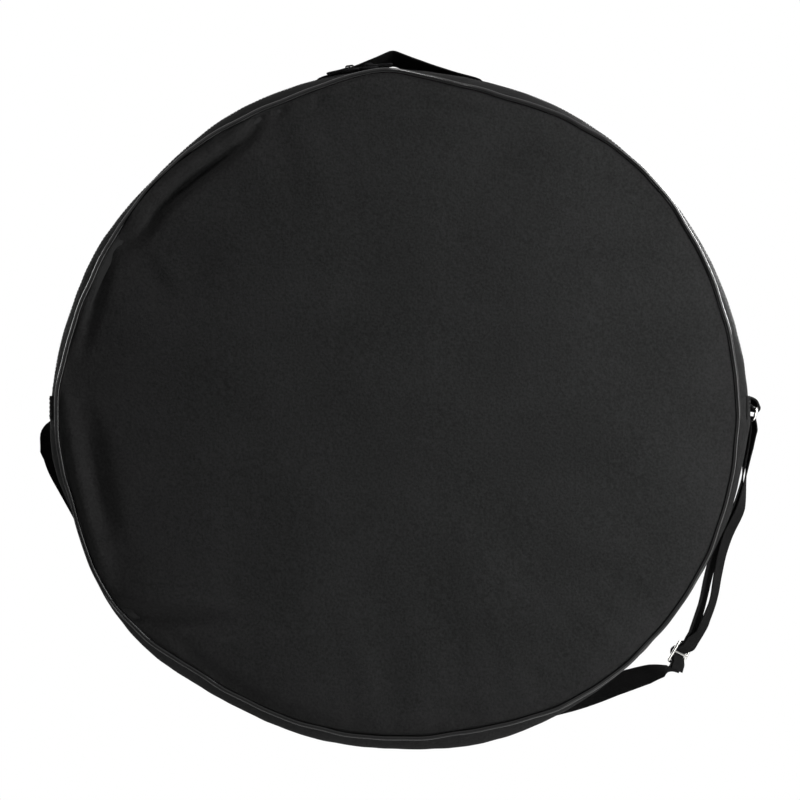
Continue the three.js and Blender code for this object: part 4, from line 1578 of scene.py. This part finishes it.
@dataclass
class Webbing:
    """Flat band of webbing through stops that each give a place and the direction of its width."""

    places: Array
    across: Array
    width: float = 25.0
    thickness: float = 1.3
    cells: int = 8

    def finer(self, steps: int) -> "Webbing":
        """Return the same band with more stops on a smooth line."""
        places = centripetal(self.places, steps)
        share = np.linspace(0, len(self.across) - 1, len(places))
        low = np.minimum(share.astype(int), len(self.across) - 2)
        t = (share - low)[:, None]
        t = t * t * (3 - 2 * t)
        across = unit(self.across[low] * (1 - t) + self.across[low + 1] * t)
        return Webbing(places, across, self.width, self.thickness, self.cells)

    def lifts(self) -> Array:
        """Return the direction of the band's thickness at each stop."""
        return unit(np.cross(headings(self.places), self.across))

    def shell(self) -> Shell:
        """Build the band as a closed mesh with soft edges."""
        half, thick = self.width / 2, self.thickness / 2
        flat = np.linspace(-half + thick, half - thick, self.cells + 1)
        top = [(a, thick) for a in flat]
        bottom = [(a, -thick) for a in flat[::-1]]
        right = [(half - thick * 0.3, thick * 0.7), (half, 0.0), (half - thick * 0.3, -thick * 0.7)]
        left = [(-half + thick * 0.3, -thick * 0.7), (-half, 0.0), (-half + thick * 0.3, thick * 0.7)]
        profile = np.array([*top, *right, *bottom, *left])
        lift = self.lifts()
        sections = (
            self.places[:, None]
            + self.across[:, None] * profile[None, :, :1]
            + lift[:, None] * profile[None, :, 1:]
        )
        across = np.concatenate([profile[:, 0], profile[:1, 0]])
        return sweep(sections, lengths(self.places), across)

    def line(self, corners: list[tuple[float, float]], side: int) -> Path:
        """Return a line of stitches through places given along and across the band."""
        far = lengths(self.places)
        points, facing = [], []
        lift = self.lifts() * side
        for (u0, v0), (u1, v1) in zip(corners[:-1], corners[1:]):
            for t in np.linspace(0, 1, 9):
                u, v = u0 + (u1 - u0) * t, v0 + (v1 - v0) * t
                place = np.array([np.interp(u, far, self.places[:, k]) for k in range(3)])
                width = unit(np.array([np.interp(u, far, self.across[:, k]) for k in range(3)]))
                out = unit(np.array([np.interp(u, far, lift[:, k]) for k in range(3)]))
                points.append(place + width * v + out * (self.thickness / 2 + 0.05))
                facing.append(out)
        return Path(np.array(points), np.array(facing))

    def box_and_cross(self, first: float, last: float, side: int) -> list[Path]:
        """Return the stitches of a sewn box with a cross in it."""
        v = self.width / 2 - 2.6
        box = [(first, -v), (last, -v), (last, v), (first, v), (first, -v)]
        rows = (box, [(first, -v), (last, v)], [(first, v), (last, -v)])
        return [self.line(row, side) for row in rows]


@dataclass
class Handle:
    """Top handle, folded to a peak where it is held, its ends sewn to the rear strip."""

    dresser: Dresser
    peak_height: float = 292.0
    peak_left: float = 5.5
    fold: float = 2.5
    peak_lean: float = 0.26
    end_lean: float = 0.167
    half_span: float = 66.0
    sewn: float = 13.0
    lift_off: float = 1.2
    webbing_y: float = 6.0
    thickness: float = 1.3

    def leaning(self, share: float) -> Array:
        """Return the direction of the webbing's width, leaning by a share of a quarter turn."""
        return turned(BACKWARDS, RIGHTWARDS, -share * QUARTER)

    def limb(self, side: int) -> Webbing:
        """Build one half of the handle, from its sewn end to the peak."""
        form = self.dresser.form
        end = side * self.half_span

        def on_wall(x: float, lift: float) -> Array:
            """Return a point over the strip at an X."""
            turn = math.acos(x / form.zip_radius) / (2 * math.pi)
            radius = float(form.wall(turn, self.webbing_y)) + form.clearance + self.thickness / 2 + lift
            return np.array((x, self.webbing_y, math.sqrt(radius**2 - x * x)))

        foot = on_wall(end, self.lift_off)
        near = -self.peak_left + side * self.fold
        share = (near - end) / (-self.peak_left - end)
        near_z = foot[2] + share * (self.peak_height - foot[2])
        drop = self.fold / self.half_span * (self.peak_height - on_wall(self.half_span, 0.0)[2]) / 2
        stops = [
            (on_wall(end + side * self.sewn, 0.0), self.end_lean),
            (on_wall(end + side * self.sewn / 2, 0.0), self.end_lean),
            (on_wall(end + side * self.lift_off, 0.0), self.end_lean),
            (on_wall(end - side * self.lift_off, self.lift_off), self.end_lean),
        ]
        last = np.array((near, self.webbing_y, near_z))
        for t in (0.25, 0.5, 0.75):
            place = stops[3][0] * (1 - t) + last * t
            place[2] -= 1.1 * math.sin(math.pi * t)
            stops.append((place, self.end_lean + (self.peak_lean - self.end_lean) * t))
        stops.append((last, self.peak_lean))
        stops.append((np.array((-self.peak_left, self.webbing_y, self.peak_height - drop)), self.peak_lean))
        places = np.array([place for place, _ in stops])
        across = np.array([self.leaning(lean) for _, lean in stops])
        fine = Webbing(places[:-1], across[:-1]).finer(4)
        return Webbing(np.concatenate([fine.places, places[-1:]]), np.concatenate([fine.across, across[-1:]]))

    def build(self) -> None:
        """Build both limbs and the stitches of their sewn ends."""
        finishes = self.dresser.finishes
        stitches = []
        for side, name in ((-1, "left"), (1, "right")):
            band = self.limb(side)
            made = band.shell().piece(f"handle_{name}_limb", finishes.webbing)
            start = np.array((side * (self.half_span - 2), self.webbing_y, 270.0))
            end = np.array((-self.peak_left + side * 6.0, self.webbing_y, 270.0))
            self.dresser.register(made, Slot.WEBBING, ("handle",), bend=(Body.BAG, Body.HANDLE, start, end))
            stitches += band.box_and_cross(1.6, self.sewn - 0.6, side)
        self.dresser.stitch("handle_stitches", stitches, Body.BAG, 2.6)


# Anchors, ring, strap and buckle


@dataclass
class Anchors:
    """End tabs of the zip, the ring's tab and the ring itself."""

    dresser: Dresser
    thickness: float = 0.8
    height: float = 18.5
    width: float = 60.0
    ring_wire: float = 2.5
    ring_width: float = 27.0
    ring_height: float = 10.0
    ring_corner: float = 3.0
    ring_lean: float = -0.18
    ring_turn: float = -0.075
    tab_lap: float = 0.4
    tab_play: float = 0.5
    tab_bend: tuple[float, float] = (282.9, 286.2)
    swing_height: float = 10.5
    margin: float = 2.4
    webbing: float = 2.0
    webbing_y: float = 6.0

    @property
    def ring_top(self) -> Array:
        """Middle of the ring's upper bar."""
        return self.spot(288.4, 6.9)

    @property
    def ring_down(self) -> Array:
        """Direction from the ring's upper bar to its lower one."""
        return turned(DOWNWARDS, BACKWARDS, -self.ring_lean * QUARTER)

    @property
    def ring_bottom(self) -> Array:
        """Middle of the ring's lower bar."""
        return self.ring_top + self.ring_down * self.ring_height

    @property
    def ring_across(self) -> Array:
        """Direction of the ring's width, turned a little to the front."""
        return turned(BACKWARDS, self.ring_down, self.ring_turn * QUARTER)

    def spot(self, x: float, z: float) -> Array:
        """Return a point in the middle plane of the webbing."""
        return np.array((x, self.webbing_y, z))

    def round_bar(self, bar: Array, radius: float, angles: Array) -> Array:
        """Return points round a bar of the ring, at angles from the right-hand side upwards."""
        out = unit(RIGHTWARDS - self.ring_across * self.ring_across[0])
        up = np.cross(out, self.ring_across)
        return bar + radius * (np.cos(angles)[:, None] * out + np.sin(angles)[:, None] * up)

    def end_tab(self, side: int) -> tuple[Shell, list[Path]]:
        """Build the cloth tab over an end of the zip, with its stitches."""
        form, count = self.dresser.form, 25
        turn = 0.0 if side > 0 else 0.5
        y = np.linspace(-self.width / 2, self.width / 2, count)
        top = form.hinge_height + self.tab_lap
        levels = np.linspace(top, top - self.height - self.tab_lap, 10)
        inside = np.maximum(form.wall(np.full(count, turn), y), self.cad_wall(y)) + form.clearance
        outside = inside + self.thickness

        def row(radius: Array, z: float) -> Array:
            """Return points across the tab at a height."""
            return np.column_stack([side * radius, y, np.full(count, z)])

        rows = [np.concatenate([row(outside, z), row(inside, z)[::-1]]) for z in levels]
        shell = sweep(np.array(rows), levels, np.concatenate([y, y[::-1], y[:1]]))
        high, low = top - self.margin, top - self.height + self.margin
        out = np.array((float(side), 0.0, 0.0))
        lines = [Path(row(outside + 0.2, z)[1:-1], out) for z in (high, low)]
        for at in (1, count - 2):
            column = [(side * (outside[at] + 0.3), y[at], z) for z in np.linspace(high, low, 6)]
            lines.append(Path(np.array(column), out))
        return shell, lines

    @staticmethod
    def cad_wall(y: Array) -> Array:
        """Return a radius that keeps the tab clear of the end of the zip and its cloth."""
        places = (-38.0, -20.5, -11.5, 8.3, 25.6, 38.0)
        return np.interp(y, places, (268.5, 280.0, 280.0, 277.0, 270.4, 264.5))

    def ring(self) -> Shell:
        """Build the ring of round wire."""
        middle = (self.ring_top + self.ring_bottom) / 2
        return wire_ring(
            middle, self.ring_across, self.ring_down, self.ring_width + self.ring_wire, self.ring_height,
            self.ring_corner, self.ring_wire,
        )

    def ring_tab(self) -> Webbing:
        """Build the tab that holds the ring, folded over its upper bar."""
        top = self.dresser.form.hinge_height - 0.6
        wrap = self.ring_wire / 2 + self.tab_play + self.webbing / 2
        flat_x = self.dresser.form.seat(self.webbing / 2)
        foot = top - self.height + 6.0
        angles = np.array((0.4, 0.1, -0.25, -0.6, -1.0, -1.4, -1.85)) * QUARTER
        around = self.round_bar(self.ring_top, wrap, angles)
        leaving = [(0.0, top), (3.0, top - 0.5), (6.4, top - 2.8)]
        coming = [(3.0, foot + 5.4), (1.8, foot + 6.5), (0.0, foot + 4.0), (0.0, foot - 1.5)]
        before, after = ([self.spot(flat_x + x, z) for x, z in way] for way in (leaving, coming))
        shares = (0.0, 0.4, 0.9, *[1.0] * len(around), 0.6, 0.3, 0.0, 0.0)
        across = [turned(BACKWARDS, self.ring_down, self.ring_turn * QUARTER * share) for share in shares]
        return Webbing(np.array([*before, *around, *after]), np.array(across), thickness=self.webbing)

    def build(self) -> None:
        """Build and register the anchors."""
        finishes, register = self.dresser.finishes, self.dresser.register
        lines = []
        for side, name in ((1, "right"), (-1, "left")):
            shell, seams = self.end_tab(side)
            made = shell.piece(f"end_tab_{name}_cloth", finishes.cloth)
            register(made, Slot.CLOTH, (f"end_tab_{name}",), body=Body.BAG)
            lines += seams
        tab = self.ring_tab()
        fine = tab.finer(3)
        end = lengths(fine.places)[-1]
        for inset in (1.6, 4.0):
            lines.append(fine.line([(end - inset, -10.6), (end - inset, 10.6)], -1))
        start, finish = (self.spot(x, self.swing_height) for x in self.tab_bend)
        register(fine.shell().piece("ring_tab_webbing", finishes.webbing), Slot.WEBBING, ("strap_ring_tab",),
                 bend=(Body.BAG, Body.STRAP, start, finish))
        ring = self.ring().piece("ring_wire", finishes.nickel)
        register(ring, Slot.NICKEL, ("strap_ring",), body=Body.RING)
        self.dresser.stitch("tab_stitches", lines, Body.BAG, 2.8)


def wire_ring(
    centre: Array, across: Array, down: Array, width: float, height: float, corner: float, wire: float,
    sides: int = 16, steps: int = 7,
) -> Shell:
    """Build a ring of round wire with rounded corners.

    Args:
        centre: Its middle.
        across: Direction of its width.
        down: Direction of its height.
        width: Width between the middles of the wire.
        height: Height between the middles of the wire.
        corner: Radius of the corners.
        wire: Diameter of the wire.
        sides: Sides of the wire.
        steps: Steps of a corner.

    Returns:
        The closed mesh.
    """
    flat = []
    for s, t, start in ((1, 1, 0), (-1, 1, 1), (-1, -1, 2), (1, -1, 3)):
        for i in range(steps + 1):
            angle = (start + i / steps) * QUARTER
            flat.append((
                s * (width / 2 - corner) + corner * math.cos(angle),
                t * (height / 2 - corner) + corner * math.sin(angle),
            ))
    flat = np.array(flat)
    points = centre + flat[:, :1] * across + flat[:, 1:] * down
    normal = unit(np.cross(across, down))
    tangent = unit(np.roll(points, -1, axis=0) - np.roll(points, 1, axis=0))
    outward = np.cross(tangent, normal)
    angles = (np.arange(sides) + 0.5) / sides * 2 * math.pi
    sections = (
        points[:, None]
        + outward[:, None] * (np.cos(angles) * wire / 2)[None, :, None]
        + normal[None, None] * (np.sin(angles) * wire / 2)[None, :, None]
    )
    along = lengths(np.concatenate([points, points[:1]]))
    return sweep(sections, along, np.arange(sides + 1) / sides * math.pi * wire, closed=True)


@dataclass
class ShoulderStrap:
    """Strap from its sewn end behind the bag to the buckle, up over the ring and back."""

    dresser: Dresser
    anchors: Anchors
    reach: float = 280.0
    depth: float = 76.0
    buckle_wire: float = 2.2
    bar_spacing: float = 9.5
    buckle_width: float = 27.0
    buckle_corner: float = 2.5
    lead: float = 5.5
    tail: float = 4.0
    tail_drop: float = 1.0
    layer_gap: float = 0.6
    wire_play: float = 0.3
    half: float = 0.65
    sewn_bend: tuple[tuple[float, float], ...] = ((-282.0, -2.5), (-282.0, -24.0))
    loop_bend: tuple[tuple[float, float], ...] = ((283.0, -20.0), (287.0, 4.0))
    route_shares: tuple[tuple[float, float, float, float], ...] = (
        (-1.0165, 0.1, -0.019, 0.02), (-1.032, 0.11, -0.047, 0.1), (-1.0315, 0.15, -0.094, 0.17),
        (-1.012, 0.28, -0.15, 0.24), (-0.98, 0.45, -0.216, 0.3), (-0.938, 0.57, -0.29, 0.4),
        (-0.88, 0.63, -0.395, 0.62), (-0.788, 0.66, -0.534, 0.9), (-0.58, 0.69, -0.71, 1),
        (-0.268, 0.7, -0.836, 1), (0.036, 0.7, -0.886, 1), (0.304, 0.7, -0.878, 0.96),
        (0.504, 0.7, -0.838, 0.78), (0.643, 0.68, -0.798, 0.46), (0.743, 0.64, -0.767, 0.34),
        (0.789, 0.6, -0.757, 0.15),
    )
    strand_shares: tuple[tuple[float, float, float, float, float], ...] = (
        (-0.632, 0.871, 0.894, 0.5, -0.26), (-0.543, 0.895, 0.925, 0.42, -0.22),
        (-0.471, 0.909, 0.936, 0.355, -0.24), (-0.407, 0.925, 0.947, 0.29, -0.25),
        (-0.346, 0.9495, 0.9645, 0.237, -0.27), (-0.275, 0.982, 0.995, 0.171, -0.26),
        (-0.186, 1.0, 1.009, 0.125, -0.1), (-0.089, 1.009, 1.022, 0.092, 0.06),
        (-0.036, 1.0145, 1.0325, 0.079, 0.075),
    )
    buckle_shares: tuple[float, float, float, float, float] = (0.832, 0.566, -0.704, -0.333, 0.664)

    def place(self, x: float, y: float, z: float) -> Array:
        """Return a point from its shares of the bag's size."""
        return np.array((x * self.reach, y * self.depth, z * self.reach))

    def twisted(self, places: Array, twists: Array) -> Array:
        """Return width directions along a route, turned from the Y axis by each twist."""
        result = []
        for along, twist in zip(headings(places), twists):
            side = unit(BACKWARDS - along * (BACKWARDS @ along))
            result.append(turned(side, along, twist * QUARTER))
        return np.array(result)

    def smoothed(self, rows: list[tuple[Array, float]], steps: int) -> tuple[Array, Array]:
        """Return places and twists on a smooth line through rows."""
        places = centripetal(np.array([place for place, _ in rows]), steps)
        twists = np.interp(np.linspace(0, len(rows) - 1, len(places)), range(len(rows)), [t for _, t in rows])
        return places, twists

    def sewn_end(self) -> Webbing:
        """Build the sewn end, from the left anchor to where the strap begins to swing."""
        form, spot = self.dresser.form, self.anchors.spot
        flat_x = -form.seat(self.half)
        foot = form.hinge_height - self.anchors.height
        rows = [(self.place(*row[:3]), row[3]) for row in self.route_shares[:3]]
        top = spot(flat_x, foot + 8.0)
        places, twists = self.smoothed([(spot(flat_x, foot), 0.0), *rows], 5)
        places = np.concatenate([[top, (top + places[0]) / 2], places])
        twists = np.concatenate([[0.0, 0.0], twists])
        return Webbing(places, self.twisted(places, twists))

    def buckle_frame(self) -> tuple[Array, Array, Array, Array]:
        """Return the buckle's middle, its long direction, its width and the way its bars stand proud."""
        x, y, z, twist, slope = self.buckle_shares
        along = np.array((math.cos(slope * QUARTER), 0.0, math.sin(slope * QUARTER)))
        across = turned(BACKWARDS, along, twist * QUARTER)
        return self.place(x, y, z), along, across, unit(np.cross(along, across))

    def weave(self, end_radius: float, middle_radius: float) -> list[Array]:
        """Return the way of one layer through the buckle, from below upwards."""
        centre, along, _, lift = self.buckle_frame()
        sine = (end_radius + middle_radius) / self.bar_spacing
        cosine = math.sqrt(1 - sine * sine)
        half = [
            (self.bar_spacing + self.lead, -end_radius),
            (self.bar_spacing, -end_radius),
            (self.bar_spacing - end_radius * sine, -end_radius * cosine),
            (middle_radius * sine, middle_radius * cosine),
        ]
        stops = [(-s, h) for s, h in half] + [(0.0, middle_radius)] + half[::-1]
        return [centre + s * along + h * lift for s, h in stops]

    def strand(self, outer: bool) -> tuple[Array, Array]:
        """Return a strand between the buckle and the ring, as places and width directions."""
        rows = [
            (self.place(out if outer else inn, y, z), twist)
            for z, inn, out, y, twist in self.strand_shares
        ]
        places, twists = self.smoothed(rows, 4)
        return places, self.twisted(places, twists)

    def free_run(self) -> Webbing:
        """Build the strap from its joint to its tail."""
        rows = [(self.place(*row[:3]), row[3]) for row in self.route_shares[2:]]
        places, twists = self.smoothed(rows, 7)
        across = self.twisted(places, twists)
        sewn = self.sewn_end()
        across[0] = sewn.across[-1]
        centre, along, buckle_across, lift = self.buckle_frame()
        near = self.buckle_wire / 2 + self.wire_play + self.half
        far = near + 2 * self.half + self.layer_gap
        stops = [(p, a) for p, a in zip(places, across)]
        stops += [(p, buckle_across) for p in self.weave(near, far)]
        stops += list(zip(*self.strand(False)))
        loop = self.anchors.ring_wire / 2 + self.wire_play + self.half
        over = self.anchors.round_bar(self.anchors.ring_bottom, loop, np.linspace(math.pi, 0, 9))
        stops += [(p, self.anchors.ring_across) for p in over]
        outer_places, outer_across = self.strand(True)
        stops += list(zip(outer_places[::-1], outer_across[::-1]))
        stops += [(p, buckle_across) for p in self.weave(far, near)[:0:-1]]
        end = centre - (self.bar_spacing + self.tail) * along - (far + self.tail_drop) * lift
        stops.append((end, buckle_across))
        band = Webbing(np.array([p for p, _ in stops]), np.array([a for _, a in stops]))
        return band.finer(2)

    def buckle(self) -> Shell:
        """Build the buckle: a frame of wire with a bar across its middle."""
        centre, along, across, lift = self.buckle_frame()
        width = self.buckle_width + self.buckle_wire
        length = 2 * self.bar_spacing
        outer = wire_ring(centre, across, along, width, length, self.buckle_corner, self.buckle_wire)
        angles = np.arange(16) / 16 * 2 * math.pi
        circle = np.cos(angles)[:, None] * along + np.sin(angles)[:, None] * lift
        ends = [centre + across * (t * width / 2) for t in (-1, -0.3, 0.3, 1)]
        sections = np.array([end + circle * self.buckle_wire / 2 for end in ends])
        bar = sweep(sections, np.arange(4) * 10.0, np.arange(17) / 16 * math.pi * self.buckle_wire)
        return merged(outer, bar)

    def build(self) -> None:
        """Build and register the strap."""
        finishes, register = self.dresser.finishes, self.dresser.register
        sewn = self.sewn_end()
        start, end = (self.anchors.spot(*place) for place in self.sewn_bend)
        register(sewn.shell().piece("sewn_end_webbing", finishes.strap), Slot.WEBBING, ("strap_sewn_end",),
                 bend=(Body.BAG, Body.STRAP, start, end))
        run = self.free_run()
        hanging, looped = (self.anchors.spot(*place) for place in self.loop_bend)
        register(run.shell().piece("strap_webbing", finishes.strap), Slot.WEBBING, ("shoulder_strap",),
                 bend=(Body.STRAP, Body.RING, hanging, looped))
        buckle = self.buckle().piece("buckle_wire", finishes.nickel)
        register(buckle, Slot.NICKEL, ("strap_buckle",), body=Body.STRAP)
        outward = 1 if sewn.lifts()[0][0] < 0 else -1
        self.dresser.stitch("sewn_end_stitches", sewn.box_and_cross(0.9, 7.2, outward), Body.BAG, 2.6)


# Light, floor and camera


@dataclass
class Studio:
    """Plain floor, soft lamps, pale surroundings and the photograph's camera."""

    camera_place: Place = (0.006, -2.244, -0.2783)
    lens: float = 123.75
    floor_height: float = -0.95
    fade: tuple[float, float] = (0.5, 1.5)
    middle: Place = (0.0, 0.0, -0.28)
    lamps: tuple[tuple[str, Place, tuple[float, float], float], ...] = (
        ("key_right", (0.7, -0.46, -0.24), (0.2, 1.0), 9.2),
        ("key_upper", (0.56, -0.46, 0.24), (0.25, 0.25), 3.0),
        ("key_lower", (0.45, -0.6, -0.78), (0.3, 0.3), 1.4),
        ("rim_left", (-1.2, -0.32, -0.55), (0.1, 0.45), 1.4),
        ("low_left", (-0.72, -0.42, -0.84), (0.12, 0.12), 0.7),
        ("over_top", (0.12, -0.4, 0.75), (0.14, 0.15), 5.0),
        ("from_behind", (0.75, 0.8, 0.15), (0.5, 0.5), 16.0),
        ("behind_left", (-1.1, 0.9, 0.1), (0.4, 0.4), 3.0),
    )

    def lamp(self, name: str, place: Place, size: tuple[float, float], power: float) -> None:
        """Add a soft lamp that faces the middle of the bag.

        Args:
            name: Its name.
            place: Where it stands, in metres.
            size: Its width and height in metres.
            power: Its strength in watts.
        """
        data = bpy.data.lights.new(name, "AREA")
        data.shape = "RECTANGLE"
        data.size, data.size_y = size
        data.energy = power
        lamp = in_scene(name, data)
        lamp.location = place
        lamp.rotation_euler = (Vector(self.middle) - Vector(place)).to_track_quat("-Z", "Y").to_euler()

    def floor(self) -> None:
        """Lay the floor."""
        mesh = bpy.data.meshes.new("studio_floor")
        far, z = 30.0, self.floor_height
        mesh.from_pydata([(-far, -far, z), (far, -far, z), (far, far, z), (-far, far, z)], [], [(0, 1, 2, 3)])
        floor = in_scene("studio_floor", mesh)
        nodes = NodeTree("floor_paint")
        tone = nodes.noise(400.0)
        nodes.set(Base_Color=nodes.mixed(tone, (0.86, 0.86, 0.86), (0.9, 0.9, 0.9)), Roughness=0.9)
        nodes.set(Specular_IOR_Level=0.1)
        place = nodes.add("ShaderNodeTexCoord").outputs["Object"]
        level = nodes.add("ShaderNodeVectorMath", {0: place, 1: (1.0, 1.0, 0.0)}, operation="MULTIPLY")
        away = nodes.add("ShaderNodeVectorMath", {0: level.outputs[0]}, operation="LENGTH").outputs["Value"]
        fade = nodes.add("ShaderNodeMapRange", {0: away, 1: self.fade[0], 2: self.fade[1]}, clamp=True)
        seen = nodes.add("ShaderNodeLightPath").outputs["Is Camera Ray"]
        white = nodes.add("ShaderNodeEmission", {0: (1.0, 1.0, 1.0, 1.0), 1: 1.0})
        share = nodes.math("MULTIPLY", fade.outputs[0], seen)
        mix = nodes.add("ShaderNodeMixShader", {0: share, 1: nodes.shader.outputs[0], 2: white.outputs[0]})
        nodes.feed(nodes.tree.nodes["Material Output"].inputs["Surface"], mix.outputs[0])
        mesh.materials.append(nodes.material)

    def world(self, light: float = 0.1) -> None:
        """Set pale surroundings, white to the camera, to gloss and through glass."""
        world = bpy.data.worlds.new("pale_studio")
        world.use_nodes = True
        tree = world.node_tree
        tree.nodes.clear()
        soft, white = (tree.nodes.new("ShaderNodeBackground") for _ in range(2))
        for shade, strength in ((soft, light), (white, 1.0)):
            shade.inputs[0].default_value = (1.0, 1.0, 1.0, 1.0)
            shade.inputs[1].default_value = strength
        rays = tree.nodes.new("ShaderNodeLightPath")
        total = rays.outputs["Is Camera Ray"]
        for name in ("Is Glossy Ray", "Is Transmission Ray"):
            adder = tree.nodes.new("ShaderNodeMath")
            adder.operation = "MAXIMUM"
            tree.links.new(total, adder.inputs[0])
            tree.links.new(rays.outputs[name], adder.inputs[1])
            total = adder.outputs[0]
        mix = tree.nodes.new("ShaderNodeMixShader")
        tree.links.new(total, mix.inputs[0])
        tree.links.new(soft.outputs[0], mix.inputs[1])
        tree.links.new(white.outputs[0], mix.inputs[2])
        out = tree.nodes.new("ShaderNodeOutputWorld")
        tree.links.new(mix.outputs[0], out.inputs[0])
        bpy.context.scene.world = world

    def camera(self) -> None:
        """Set up the camera."""
        data = bpy.data.cameras.new("photo_camera")
        data.lens = self.lens
        data.sensor_width = 36.0
        data.clip_end = 100.0
        camera = in_scene("photo_camera", data)
        camera.location = self.camera_place
        camera.rotation_euler = (QUARTER, 0.0, 0.0)
        bpy.context.scene.camera = camera

    def build(self) -> None:
        """Set up everything round the bag."""
        for name, place, size, power in self.lamps:
            self.lamp(name, place, size, power)
        self.floor()
        self.world()
        self.camera()
        bpy.context.scene.view_settings.view_transform = "Standard"


def main() -> None:
    """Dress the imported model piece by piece."""
    logging.basicConfig(level=logging.INFO, format="%(name)s: %(message)s", stream=sys.stdout)
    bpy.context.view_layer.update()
    Studio().build()
    dresser = Dresser(BagForm(), make_finishes(), bead_tree(), Disc())
    FacePanel(dresser, Side.FRONT, FRONT_FOLDS).build()
    FacePanel(dresser, Side.BACK, BACK_FOLDS).build()
    SideWall(dresser).build()
    Zip(dresser).build()
    Handle(dresser).build()
    anchors = Anchors(dresser)
    anchors.build()
    ShoulderStrap(dresser, anchors).build()


if __name__ == "__main__":
    main()
